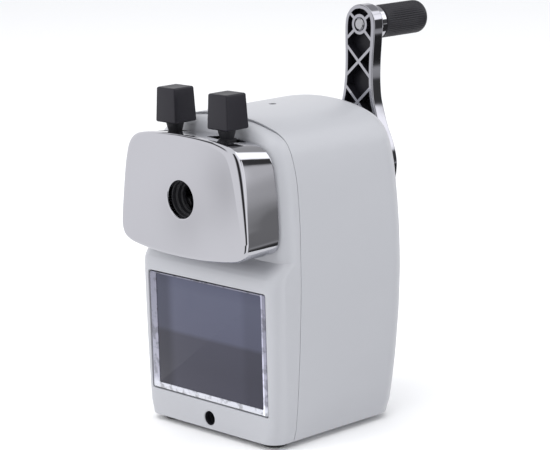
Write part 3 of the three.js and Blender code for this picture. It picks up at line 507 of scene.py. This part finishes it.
# ------------------------------------------------------------------ front bezel
R = 5.0
LOW = [(x, z - 0.8 * min(1.0, (z - 97) / 4) if z > 97 else z) for x, z in OUT]
LOW_N = OUT_N
rings = [inset_ring(LOW, LOW_N, R * (1 - math.cos(a)), lambda z, a=a: frontY(z) + R - R * math.sin(a)) for a in arcs(9)[::-1]]
rings += [inset_ring(LOW, LOW_N, 0.0, lambda z: seamY(z) - 0.5), inset_ring(LOW, LOW_N, 0.0, lambda z: seamY(z) - 0.27), inset_ring(LOW, LOW_N, 0.06, lambda z: seamY(z) - 0.11),
          inset_ring(LOW, LOW_N, 0.22, lambda z: seamY(z) - 0.05)]
bezel = new_object("front_bezel_skin", *loft(rings), 32, BODY)
Ri = R - WALL
rings = [inset_ring(LOW, LOW_N, WALL + Ri * (1 - math.cos(a)), lambda z, a=a: frontY(z) + WALL + Ri - Ri * math.sin(a)) for a in arcs(4)[::-1]]
rings += [inset_ring(LOW, LOW_N, WALL, lambda z: seamY(z) + 2.0)]
core = new_object("core", *loft(rings))
low = new_object("low", *loft([[(x, y, z) for x, z in mirrored([(0, -7.9), (36, -7.9), (36, 4.8), (0, 4.8)])] for y in (-9, 75)], "flat"))
boolean(low, block("t", -28.0, 28.0, -12, 51.6, -12, 6), "DIFFERENCE")
boolean(core, low, "DIFFERENCE")
boolean(bezel, core)
boolean(bezel, block("t", -45, 45, -12, 80, -12, 2.0))
boolean(bezel, flared("t", lambda g: round_rect(-27.65 - g, 27.65 + g, 10.85 - g, 50.85 + g, 0.8 + g),
                      [(-5, 0.35), (-1.2, 0.35), (-1.17, 0.2), (-1.08, 0.08), (-0.85, 0), (3, 0)]))
boolean(bezel, lathe("t", [(0, -5), (2.6, -5), (2.6, -1.2), (2.35, -0.95), (2.25, -0.7), (2.25, 3), (0, 3)], z=5.5))
boolean(bezel, lathe("t", [(0, 0), (14.5, 0), (14.5, 9), (0, 9)]))
for x in (-22.5, 22.5):
    boolean(bezel, lathe("t", [(0, 0), (3.4, 0), (3.4, 9), (0, 9)], x=x, n=32))
# the walls of the clamp hole take the painted shade
bezel.data.materials.append(BORE_SHADE)
for p in bezel.data.polygons:
    c = p.center
    if math.hypot(c.x * 1000, c.z * 1000 - 5.5) < 2.3 and c.y * 1000 + ORIGIN_Y < 2 and abs(p.normal.y) < 0.4:
        p.material_index = 1
soften(bezel)
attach(bezel, "housing")
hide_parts("front_bezel")

# ------------------------------------------------------------------ face plate
PLATE_HALF = [(0, 60.1), (8, 60.3), (15, 60.8), (21, 61.5), (25.6, 62.5), (28.3, 64.2), (29.4, 67.2), (29.42, 70), (29.12, 73.5), (28.66, 78),
              (28.06, 83), (27.4, 87.5), (26.5, 91.5), (25.5, 94.3), (23.9, 96.4), (21.6, 97.75), (17, 98.75), (11, 99.3), (5, 99.6), (0, 99.7)]
PLATE = mirrored(catmull(PLATE_HALF, 0.7))
PLATE_N = outward(PLATE)
PF, PR, PWALL = -10.4, 3.8, 1.6


def smooth_row(v, n):
    """Closed row of numbers, each averaged with its neighbours n times."""
    v = np.array(v, float)
    for _ in range(n):
        v = 0.25 * np.roll(v, 1) + 0.5 * v + 0.25 * np.roll(v, -1)
    return [float(a) for a in v]


# the rounding of the front edge is small along the top and grows towards the upper corners
edge_side = table([(60, 1.4), (66, 1.4), (71, 1.6), (78.5, 2.2), (86, 2.6), (92, 2.9), (100, 2.9)])
edge_top = table([(0, 1.2), (11, 1.25), (17, 1.5), (21.5, 2.2), (24, 2.7), (26, 3.0)])
PLATE_R = smooth_row([min(edge_side(z), edge_top(abs(x))) for x, z in PLATE], 12)
SPREAD = smooth_row([float(np.interp(z, [66, 71, 79, 86, 92, 98], [0, 0.3, 0.9, 0.95, 1.3, 1.3])) * min(1.0, abs(x) / 20) for x, z in PLATE], 8)
SLOPE = smooth_row([1.3 * min(1.0, max(0.0, (z - 89) / 7)) for x, z in PLATE], 8)


def plate_at(y):
    t = max(0.0, (y - PF - 2) / (PR - PF - 2))
    return [(x + math.copysign(s * t, x) if abs(x) > 1e-9 else 0.0, z - d * t) for (x, z), s, d in zip(PLATE, SPREAD, SLOPE)]


def plate_ring(inset, y, base=None):
    """Ring of the plate with an inset and a depth of its own at each point."""
    out = []
    for (x, z), (nx, nz), d, yy in zip(base or PLATE, PLATE_N, inset, y):
        out.append((0.0 if abs(x) < 1e-9 else x - nx * d, yy, z - nz * d))
    return out


rear_edge = lambda z: PR - 0.06 * max(0.0, z - 90)
N_ = len(PLATE)
rings = [plate_ring([r + d for r in PLATE_R], [PF] * N_) for d in (0.5, 0.12)]
rings += [plate_ring([r * (1 - math.cos(a)) for r in PLATE_R], [PF + r - r * math.sin(a) for r in PLATE_R]) for a in arcs(14)[::-1]]
for t in (0.02, 0.34, 0.67):
    q = [PF + r + (PR - PF - r) * t for r in PLATE_R]
    base = [plate_at(y)[i] for i, y in enumerate(q)]
    rings.append(plate_ring([0.0] * N_, q, base))
rings.append(inset_ring(plate_at(PR - 0.3), PLATE_N, 0.0, lambda z: rear_edge(z) - 0.3))
rings.append(inset_ring(plate_at(PR - 0.15), PLATE_N, 0.0, lambda z: rear_edge(z) - 0.15))
rings.append(inset_ring(plate_at(PR - 0.04), PLATE_N, 0.04, lambda z: rear_edge(z) - 0.04))
rings.append(inset_ring(plate_at(PR), PLATE_N, 0.15, rear_edge))
plate = new_object("face_plate_shell", *loft(rings), 40, CHROME)
STEP = [max(0.5, 0.62 * (r - PWALL)) for r in PLATE_R]
rings = [plate_ring([PWALL + k * (1 - math.sin(a)) for k in STEP], [PF + PWALL + k * (1 - math.cos(a)) for k in STEP]) for a in (0, rad(30), rad(60), rad(90))]
rings.append(inset_ring(plate_at(10), PLATE_N, PWALL, lambda z: 10))
boolean(plate, new_object("core", *loft(rings)), smooth=40)
boolean(plate, lathe("t", [(0, -12), (6.55, -12), (6.55, -10.4), (6.3, -10.32), (6.1, -10.15), (6.0, -9.85), (6.0, -8), (0, -8)], n=96), smooth=40)
for d in (-1, 1):
    x0, x1 = sorted((d * 7.4, d * 18.4))
    ring = [(x, y) for x, y in round_rect(x0, x1, -5.2, 2.0, 0.8, 5)]
    v = [(x, y, 94.0) for x, y in ring] + [(x, y, 104.0) for x, y in ring]
    n = len(ring)
    f = [tuple(range(n)), tuple(range(n, 2 * n))] + [(i, (i + 1) % n, n + (i + 1) % n, n + i) for i in range(n)]
    boolean(plate, new_object("t", v, f), smooth=40)
soften(plate)
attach(plate, "face_plate")
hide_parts("face_plate")

# ------------------------------------------------------------------ stepped collar in the pencil hole
collar = lathe("chuck_collar", [(5.8, -8.3), (5.95, -8.5), (8.4, -8.5), (8.6, -8.3), (8.6, -3.9), (8.4, -3.7), (4.85, -3.7), (4.7, -3.9), (4.7, -5.05), (4.85, -5.2),
                                (5.05, -5.2), (5.2, -5.35), (5.2, -6.65), (5.35, -6.8), (5.65, -6.8), (5.8, -6.95), (5.8, -8.3)], n=80, material=INNER)
for d in (-1, 1):
    x0, x1 = sorted((d * 8.2, d * 13.6))
    boolean(collar, prism("t", round_rect(x0, x1, AXIS_Z - 2.8, AXIS_Z + 2.8, 0.6), -8.5, -6.4), "UNION")
    boolean(collar, lathe("t", [(0, -10), (1.3, -10), (1.3, 0), (0, 0)], x=d * 11.4, n=24))
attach(collar, "face_plate")
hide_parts("chuck_body")

# ------------------------------------------------------------------ knobs
for name, d in (("left", -1), ("right", 1)):
    cx, cy = d * 12.1, -0.1
    rings = []
    z0, z1 = 101.4, 112.6
    prof = [(z0, -0.5), (z0 + 0.12, -0.2), (z0 + 0.45, 0)] + [(z0 + (z1 - z0) * t, 0) for t in (0.25, 0.5, 0.75)]
    prof += [(z1 - 0.55, 0), (z1 - 0.3, -0.08), (z1 - 0.12, -0.24), (z1 - 0.02, -0.5), (z1, -0.8)]
    for z, g in prof:
        half = 4.7 + (4.25 - 4.7) * (z - z0) / (z1 - z0) + g
        rings.append([(x, y, z) for x, y in round_rect(cx - half, cx + half, cy - half, cy + half, max(0.12, 0.55 + g * 0.4), 5)])
    # shallow dish in the top
    half = 4.25 - 2.6
    rings.append([(x, y, z1 - 0.16) for x, y in round_rect(cx - half, cx + half, cy - half, cy + half, 0.6, 5)])
    knob = new_object(f"lever_knob_{name}_cap", *loft(rings, "flat"), 28, BLACK)
    n = 32
    ring = [(1.85 * math.cos(2 * math.pi * k / n), 1.85 * math.sin(2 * math.pi * k / n)) for k in range(n)]
    v = [(cx + x, -0.65 + y, z) for z in (95, 108.6) for x, y in ring]
    f = [tuple(range(n)), tuple(range(n, 2 * n))] + [(i, (i + 1) % n, n + (i + 1) % n, n + i) for i in range(n)]
    boolean(knob, new_object("t", v, f), smooth=28)
    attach(knob, f"lever_{name}")
    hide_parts(f"lever_knob_{name}")

# ------------------------------------------------------------------ crank arm
ARM_Y0, ARM_T, LEAN = 68.9, 4.6, 0.065
ARM_HALF = [(0, AXIS_Z - 15), (5.74, AXIS_Z - 13.9), (10.6, AXIS_Z - 10.6), (13.9, AXIS_Z - 5.7), (15, AXIS_Z), (14.6, 82.5), (13.6, 85.5), (12.2, 88.7), (10.4, 92),
            (8.4, 97.2), (7.1, 101.5), (6.5, 106), (6.3, 110), (6.35, 115), (6.6, 120), (6.7, GRIP_Z), (6.2, GRIP_Z + 2.6), (4.8, GRIP_Z + 4.7), (2.6, GRIP_Z + 6.2), (0, GRIP_Z + 6.7)]
ARM = mirrored(catmull(ARM_HALF, 0.6))
ARM_N = outward(ARM)


def leaned(ob):
    for v in ob.data.vertices:
        v.co.y += LEAN * (v.co.z - AXIS_Z / 1000)
    ob.data.update()
    return ob


def arm_ring(d, y):
    return inset_ring(ARM, ARM_N, d, lambda z, y=y: y)


rr = 0.55
rings = [arm_ring(rr * (1 - math.cos(a)), ARM_Y0 + rr - rr * math.sin(a)) for a in arcs(4)[::-1]]
rings += [arm_ring(rr * (1 - math.cos(a)), ARM_Y0 + ARM_T - rr + rr * math.sin(a)) for a in arcs(4)]
arm = new_object("crank_arm_casting", *loft(rings), 35, ARM_CHROME)
pocket_outline = [(x, z) for x, _, z in arm_ring(1.35, 0)]
pocket = new_object("pocket", *loft([[(x, ARM_Y0 - 1, z) for x, z in pocket_outline], [(x, ARM_Y0 + ARM_T - 1.3, z) for x, z in pocket_outline]]))
boolean(pocket, block("t", -30, 30, ARM_Y0 - 3, ARM_Y0 + 9, 50, 90.5))


def bar(x0, z0, x1, z1, w=0.95):
    dx, dz = x1 - x0, z1 - z0
    l = math.hypot(dx, dz)
    nx, nz = -dz / l * w / 2, dx / l * w / 2
    return prism("t", [(x0 + nx, z0 + nz), (x1 + nx, z1 + nz), (x1 - nx, z1 - nz), (x0 - nx, z0 - nz)], ARM_Y0 - 2, ARM_Y0 + ARM_T)


for zc in (113.3, 99.7):
    boolean(pocket, bar(-7.5, zc - 6.8, 7.5, zc + 6.8))
    boolean(pocket, bar(7.5, zc - 6.8, -7.5, zc + 6.8))
for x, z in ((6.4, 5), (-6.4, 5), (6.4, -5.6), (-6.4, -5.6)):
    boolean(pocket, bar(0, GRIP_Z, x, GRIP_Z + z))
boolean(pocket, lathe("t", [(0, ARM_Y0 - 2), (3.4, ARM_Y0 - 2), (3.4, ARM_Y0 + 9), (0, ARM_Y0 + 9)], z=GRIP_Z, n=48))
boolean(arm, pocket)
# the bottoms and walls of the pockets get painted shade: a near-black version of the chrome, darker than the ribs
arm.data.materials.append(POCKET_SHADE)
for p in arm.data.polygons:
    c = p.center
    x, y, z = c.x * 1000, c.y * 1000 + ORIGIN_Y, c.z * 1000
    if z > 90 and ARM_Y0 + 0.35 < y < ARM_Y0 + ARM_T - 1.0:
        half = float(np.interp(z, [q[1] for q in ARM_HALF[4:]], [q[0] for q in ARM_HALF[4:]]))
        if abs(x) < half - 1.0 or z > 128:
            if math.hypot(x, z - GRIP_Z) < 5.3 or abs(x) < half - 1.0:
                p.material_index = 1
leaned(arm)
boolean(arm, lathe("t", [(0, 64.6), (6.3, 64.6), (6.6, 64.9), (6.6, 71), (0, 71)]), "UNION")
boolean(arm, lathe("t", [(0, 71.2), (14.7, 71.2), (14.7, 73.1), (14.5, 73.6), (14.0, 73.9), (13.4, 74.0), (7.4, 74.0), (6.95, 74.15), (6.8, 74.6), (6.6, 76.9), (6.4, 77.3), (6.0, 77.5), (0, 77.5)], n=96), "UNION")
boolean(arm, lathe("t", [(0, 60), (4.5, 60), (4.5, 77.1), (4.9, 77.5), (4.9, 90), (0, 90)]))
boolean(arm, lathe("t", [(0, 60), (2.45, 60), (2.45, ARM_Y0 + LEAN * 46.7 + 1.3), (2.1, ARM_Y0 + LEAN * 46.7 + 1.3), (2.1, 90), (0, 90)], z=GRIP_Z, n=32), smooth=35)
soften(arm)
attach(arm, "crank")
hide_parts("crank_arm")

# ------------------------------------------------------------------ collar and grip
ring = lathe("grip_collar_ring", [(2.05, 77.0), (5.3, 77.0), (5.6, 77.1), (5.8, 77.4), (5.8, 79.3), (5.6, 79.6), (5.3, 79.7), (2.05, 79.7), (2.05, 77.0)], z=GRIP_Z, material=CHROME)
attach(ring, "crank")
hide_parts("grip_collar")

RIBS = 44
Y0, Y1 = 80.0, 100.7


def ribs(a, y):
    depth = 0.03 * min(1.0, max(0.0, (y - Y0 - 0.7) / 0.6)) * min(1.0, max(0.0, (Y1 - 2.2 - y) / 0.8))
    w = 0.5 + 0.5 * math.cos(a * RIBS)
    return 1.0 - depth * (1 - w ** 0.5)


prof = [(2.1, Y0), (4.9, Y0), (5.25, Y0 + 0.08), (5.5, Y0 + 0.3), (5.6, Y0 + 0.7), (5.6, Y0 + 1.3), (5.6, Y0 + 5), (5.6, Y0 + 10), (5.6, Y0 + 14), (5.6, Y1 - 3.0), (5.6, Y1 - 2.2)]
prof += [(3.6 + 2.0 * math.cos(a), Y1 - 2.0 + 2.0 * math.sin(a)) for a in arcs(7)[1:]]
prof += [(1.8, Y1 - 0.02), (0, Y1), ]
inside = [(0, Y1 - 2.2), (2.1, Y1 - 2.2), (2.1, Y0)]
grip = lathe("crank_grip_sleeve", prof + inside, z=GRIP_Z, n=RIBS * 6, material=GRIP, wobble=lambda a, y: 1.0, smooth=40)
co = np.array([v.co for v in grip.data.vertices])
for v in grip.data.vertices:
    x, y, z = v.co.x * 1000, v.co.y * 1000 + ORIGIN_Y, v.co.z * 1000 - GRIP_Z
    r = math.hypot(x, z)
    if r > 5.4:
        k = ribs(math.atan2(z, x), y)
        v.co.x = x * k / 1000
        v.co.z = (GRIP_Z + z * k) / 1000
grip.data.update()
shade(grip, 40)
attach(grip, "grip")
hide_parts("crank_grip")

# ------------------------------------------------------------------ drawer
W, Z0, Z1, DEPTH, DF = 27.3, 11.2, 50.45, 52.0, -0.9
box = [(y, g) for y, g in ((DF, -0.3), (DF + 0.09, -0.09), (DF + 0.3, 0.0), (DEPTH - 0.5, 0.0), (DEPTH - 0.1, -0.2), (DEPTH, -0.5))]
tub = new_object("drawer_tub", *loft([[(x, y, z) for x, z in round_rect(-W - g, W + g, Z0 - g, Z1 + g, 0.6)] for y, g in box], "flat"), 30, BIN)
hollow = []
for z, g in ((Z0 + 1.8, -0.8), (Z0 + 2.1, -0.25), (Z0 + 2.6, 0.0), (60, 0.0)):
    hollow.append([(x, y, z) for x, y in round_rect(-W + 1.6 - g, W - 1.6 + g, 1.3 - g, DEPTH - 1.6 + g, 1.5)])
boolean(tub, new_object("t", *loft(hollow, "flat")), smooth=30)
# front: a smoked pane framed by the cut edges of the clear walls, made bright with painted light
frame_w = dict(l=3.1, r=1.95, b=1.95, t=0.4)
px0, px1, pz0, pz1 = -W + frame_w["l"], W - frame_w["r"], Z0 + frame_w["b"], Z1 - frame_w["t"]
boolean(tub, prism("t", round_rect(px0 - 0.01, px1 + 0.01, pz0 - 0.01, pz1 + 0.01, 0.5), -3, DF + 1.0), smooth=30)
# the faces around the pane take the edge material with its painted light
tub.data.materials.append(CLEAR_EDGE_PAINTED_LIGHT)
for p in tub.data.polygons:
    c = p.center
    x, y, z = c.x * 1000, c.y * 1000 + ORIGIN_Y, c.z * 1000
    if y < DF + 1.05 and not (px0 + 0.3 < x < px1 - 0.3 and pz0 + 0.3 < z < pz1 - 0.3 and y > DF + 0.9):
        p.material_index = 1
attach(tub, "drawer")
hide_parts("shavings_drawer")
# the pane's colour is painted light and shade of the hollow behind it
pane_rings = [[(x, DF + y, z) for x, z in round_rect(px0 + 0.04 - g, px1 - 0.04 + g, pz0 + 0.04 - g, pz1 - 0.04 + g, 0.45)] for y, g in ((0.12, -0.2), (0.2, -0.06), (0.35, 0.0), (0.98, 0.0))]
pane = new_object("drawer_window_pane", *loft(pane_rings, "flat"), 30, SMOKED_PAINTED_LIGHT_SHADE)
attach(pane, "drawer")

# ------------------------------------------------------------------ springs
def helix_tube(name, r, wire, length, turns, per=28, sides=8, axis="y", at=(0, 0, 0)):
    verts, faces = [], []
    total = turns * per
    for i in range(total + 1):
        t = i / total
        # closed end coils
        s = 0.5 - 0.5 * math.cos(math.pi * t)
        u = (0.82 * t + 0.18 * s) * length
        a = 2 * math.pi * turns * t
        c = Vector((r * math.cos(a), u, r * math.sin(a)))
        tan = Vector((-math.sin(a) * r * 2 * math.pi * turns, length, math.cos(a) * r * 2 * math.pi * turns)).normalized()
        nrm = Vector((math.cos(a), 0, math.sin(a)))
        bi = tan.cross(nrm)
        for k in range(sides):
            b = 2 * math.pi * k / sides
            v = c + nrm * (wire * math.cos(b)) + bi * (wire * math.sin(b))
            if axis == "x":
                v = Vector((v.y, -v.x, v.z))
            verts.append((v.x + at[0], v.y + at[1], v.z + at[2]))
    for i in range(total):
        for k in range(sides):
            j = (k + 1) % sides
            faces.append((i * sides + k, i * sides + j, (i + 1) * sides + j, (i + 1) * sides + k))
    faces += [tuple(range(sides)), tuple(range(total * sides, total * sides + sides))]
    return new_object(name, verts, faces, 60, STEEL)


for name, x in (("left", -22.5), ("right", 22.5)):
    s = helix_tube(f"feed_spring_{name}_coil", 2.95, 0.32, 31.0, 10, at=(x, 14.6, AXIS_Z))
    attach(s, "housing")
    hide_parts(f"feed_spring_{name}")
    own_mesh(s)
s = helix_tube("lever_spring_coil", 1.3, 0.22, 18.4, 12, axis="x", at=(-9.2, -1.9, 94.6))
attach(s, "face_plate")
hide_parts("lever_spring")
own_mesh(s)

# ------------------------------------------------------------------ CAD nodes that stay
LOOKS = {"black_plastic": BLACK, "inner_black": INNER, "rubber": RUBBER, "steel": STEEL, "zinc": ZINC, "brass": BRASS, "chrome": CHROME, "body_grey": BODY, "smoked_plastic": BIN}
slot_of = {s["node"]: s["material_slot"] for s in frame["record"]["subparts"]}
BEVELS = {"lever_left": 0.2, "lever_right": 0.2, "clamp_socket": 0.2, "base_plate": 0.3, "drawer_runner_left": 0.4, "drawer_runner_right": 0.4, "chute_plate": 0.2,
          "mechanism_frame": 0.25, "chuck_jaw_1": 0.15, "chuck_jaw_2": 0.15, "chuck_jaw_3": 0.15, "cutter_carrier": 0.3, "plate_backing": 0.2}
for name, ob in NODES.items():
    if ob.hide_render:
        continue
    ob.data.materials.clear()
    ob.data.materials.append(LOOKS[slot_of[name]])
    for p in ob.data.polygons:
        p.use_smooth = True
    ob.data.set_sharp_from_angle(angle=rad(34))
    bv = ob.modifiers.new("edge", "BEVEL")
    bv.width = BEVELS.get(name, 0.12) / 1000
    bv.segments = 2
    bv.limit_method = "ANGLE"
    bv.angle_limit = rad(40)
    bv.harden_normals = False

# ------------------------------------------------------------------ camera
AZ, EL, ROLL = rad(46.344655), rad(12.009307), rad(-1.586120)
back = Vector((math.sin(AZ) * math.cos(EL), -math.cos(AZ) * math.cos(EL), math.sin(EL)))
right = Vector((math.cos(AZ), math.sin(AZ), 0))
up = back.cross(right)
r2 = right * math.cos(ROLL) + up * math.sin(ROLL)
u2 = -right * math.sin(ROLL) + up * math.cos(ROLL)
cam_data = bpy.data.cameras.new("camera")
cam_data.sensor_fit = "HORIZONTAL"
cam_data.sensor_width = 36.0
cam_data.lens = 2208.565 * 36 / 550
cam_data.clip_start = 0.01
cam_data.clip_end = 50
cam = bpy.data.objects.new("camera", cam_data)
scene.collection.objects.link(cam)
loc = P(31.9134, 0, 73.4472) + back * 0.6774656
m = Matrix((r2, u2, back)).transposed().to_4x4()
m.translation = loc
cam.matrix_world = m
scene.camera = cam

# ------------------------------------------------------------------ studio
scene.view_settings.view_transform = "Standard"
scene.view_settings.look = "None"

world = bpy.data.worlds.new("studio")
scene.world = world
world.use_nodes = True
bg = world.node_tree.nodes["Background"]
bg.inputs[0].default_value = (0.97, 0.98, 1.0, 1)
bg.inputs[1].default_value = 0.92

fmat = bpy.data.materials.new("studio_floor")
fmat.use_nodes = True
nt = fmat.node_tree
b = nt.nodes["Principled BSDF"]
b.inputs["Roughness"].default_value = 0.9
b.inputs["Specular IOR Level"].default_value = 0.1
tc = nt.nodes.new("ShaderNodeTexCoord")
nz = nt.nodes.new("ShaderNodeTexNoise")
nz.inputs["Scale"].default_value = 3.0
nt.links.new(tc.outputs["Object"], nz.inputs["Vector"])
mx = nt.nodes.new("ShaderNodeMix")
mx.data_type = "RGBA"
mx.inputs[6].default_value = (0.93, 0.93, 0.935, 1)
mx.inputs[7].default_value = (0.96, 0.96, 0.965, 1)
nt.links.new(nz.outputs["Fac"], mx.inputs[0])
nt.links.new(mx.outputs[2], b.inputs["Base Color"])
mesh = bpy.data.meshes.new("floor")
S = 6.0
mesh.from_pydata([(-S, -S, 0), (S, -S, 0), (S, S, 0), (-S, S, 0)], [], [(0, 1, 2, 3)])
mesh.materials.append(fmat)
floor = bpy.data.objects.new("floor", mesh)
scene.collection.objects.link(floor)
floor.visible_glossy = False


def softbox(name, loc, target, size, power, colour=(1, 1, 1), size_y=None):
    data = bpy.data.lights.new(name, "AREA")
    data.shape = "RECTANGLE"
    data.size = size
    data.size_y = size_y or size
    data.energy = power
    data.color = colour
    ob = bpy.data.objects.new(name, data)
    scene.collection.objects.link(ob)
    ob.location = loc
    ob.rotation_euler = (Vector(target) - Vector(loc)).to_track_quat("-Z", "Y").to_euler()
    ob.visible_glossy = False
    return ob


softbox("key_top", (0.05, -0.15, 1.1), (0, 0, 0.06), 0.9, 5.5)
softbox("key_front", (-0.55, -0.85, 0.55), (0, 0, 0.06), 0.7, 4.0)
softbox("fill_right", (0.9, 0.25, 0.35), (0, 0, 0.06), 0.6, 1.1)


# what the polished parts mirror: a round wall of light and dark panels, seen only in reflections
def env(az, z):
    """Brightness of the wall. az in degrees from the front (-Y) towards the right (+X), z in mm."""
    def win(v, a, b, s):
        return 1 / (1 + math.exp(-max(-60, min(60, (v - a) / s)))) / (1 + math.exp(max(-60, min(60, (v - b) / s))))
    v = 0.93
    # what the front of the plate mirrors
    v -= 0.14 * math.exp(-((az + 43.8) / 1.2) ** 2 - ((z + 24) / 16) ** 2)
    v -= 0.24 * math.exp(-((az + 41.3) / 1.2) ** 2 - ((z + 6) / 20) ** 2)
    v -= 0.05 * math.exp(-((az + 46.5) / 2.0) ** 2 - ((z + 60) / 30) ** 2)
    # thin dark line along its top edge
    v += (0.10 - v) * win(az, -90, -15, 4) * win(z, 470, 800, 12)
    # camera side, leaning to the right above
    lean = 20 * min(1.0, max(0.0, (z + 42) / 34)) if z < 130 else 20
    v += (0.03 - v) * win(az, 28 + lean, 62 + lean, 2.0)
    # bright strip
    v += (1.1 - v) * win(az, 82 + 0.5 * lean, 111, 2.0)
    # right rear: grey gradient, dark line, white above, grey at the top
    g = float(np.interp(z, [-200, 19, 34, 50, 72, 90, 108, 135, 215], [0.17, 0.20, 0.27, 0.31, 0.41, 0.47, 0.53, 0.60, 0.62]))
    w = win(az, 113, 132.0, 1.0)
    v += (g - v) * w * win(z, -900, 238, 4)
    v += (0.05 - v) * w * win(z, 240, 425, 5)
    v += (1.45 - v) * w * win(z, 438, 1400, 8)
    # beside it what the side of the crank arm mirrors
    w = win(az, 132.0, 160, 0.8)
    v += (0.03 - v) * w * win(z, -900, 43, 1.5)
    v += (0.46 - v) * w * win(z, 43, 66, 1.5)
    v += (0.07 - v) * w * win(z, 66, 236, 3)
    v += (1.9 - v) * w * win(z, 238, 440, 6)
    # straight behind and above
    v += (0.40 - v) * max(win(az, 158, 500, 4), win(az, -500, -138, 4)) * win(z, 330, 2000, 15)
    v += (1.7 - v) * win(az, 121, 166, 1.5) * win(z, 452, 2000, 8)
    return v


NA, NZ_, RAD = 540, 300, 0.5
zs = [-0.30 + 1.3 * k / NZ_ for k in range(NZ_ + 1)]
verts, faces, cols = [], [], []
for z in zs:
    for i in range(NA):
        a = 2 * math.pi * i / NA
        az = math.degrees(a)
        az = az - 360 if az > 180 else az
        verts.append((RAD * math.sin(a), -RAD * math.cos(a), z))
        cols.append(env(az, z * 1000))
for k in range(NZ_):
    for i in range(NA):
        j = (i + 1) % NA
        faces.append((k * NA + i, k * NA + j, (k + 1) * NA + j, (k + 1) * NA + i))
mesh = bpy.data.meshes.new("mirror_wall")
mesh.from_pydata(verts, [], faces)
at = mesh.attributes.new("glow", "FLOAT", "POINT")
at.data.foreach_set("value", np.array(cols, np.float32))
wmat = bpy.data.materials.new("mirror_wall")
wmat.use_nodes = True
nt = wmat.node_tree
nt.nodes.clear()
o = nt.nodes.new("ShaderNodeOutputMaterial")
e = nt.nodes.new("ShaderNodeEmission")
e.inputs[0].default_value = (0.975, 0.975, 1.0, 1)
a = nt.nodes.new("ShaderNodeAttribute")
a.attribute_name = "glow"
nt.links.new(a.outputs["Fac"], e.inputs[1])
nt.links.new(e.outputs[0], o.inputs[0])
mesh.materials.append(wmat)
wall = bpy.data.objects.new("mirror_wall", mesh)
scene.collection.objects.link(wall)
wall.visible_camera = False
wall.visible_diffuse = False
wall.visible_shadow = False
wall.visible_transmission = False
wall.visible_volume_scatter = False
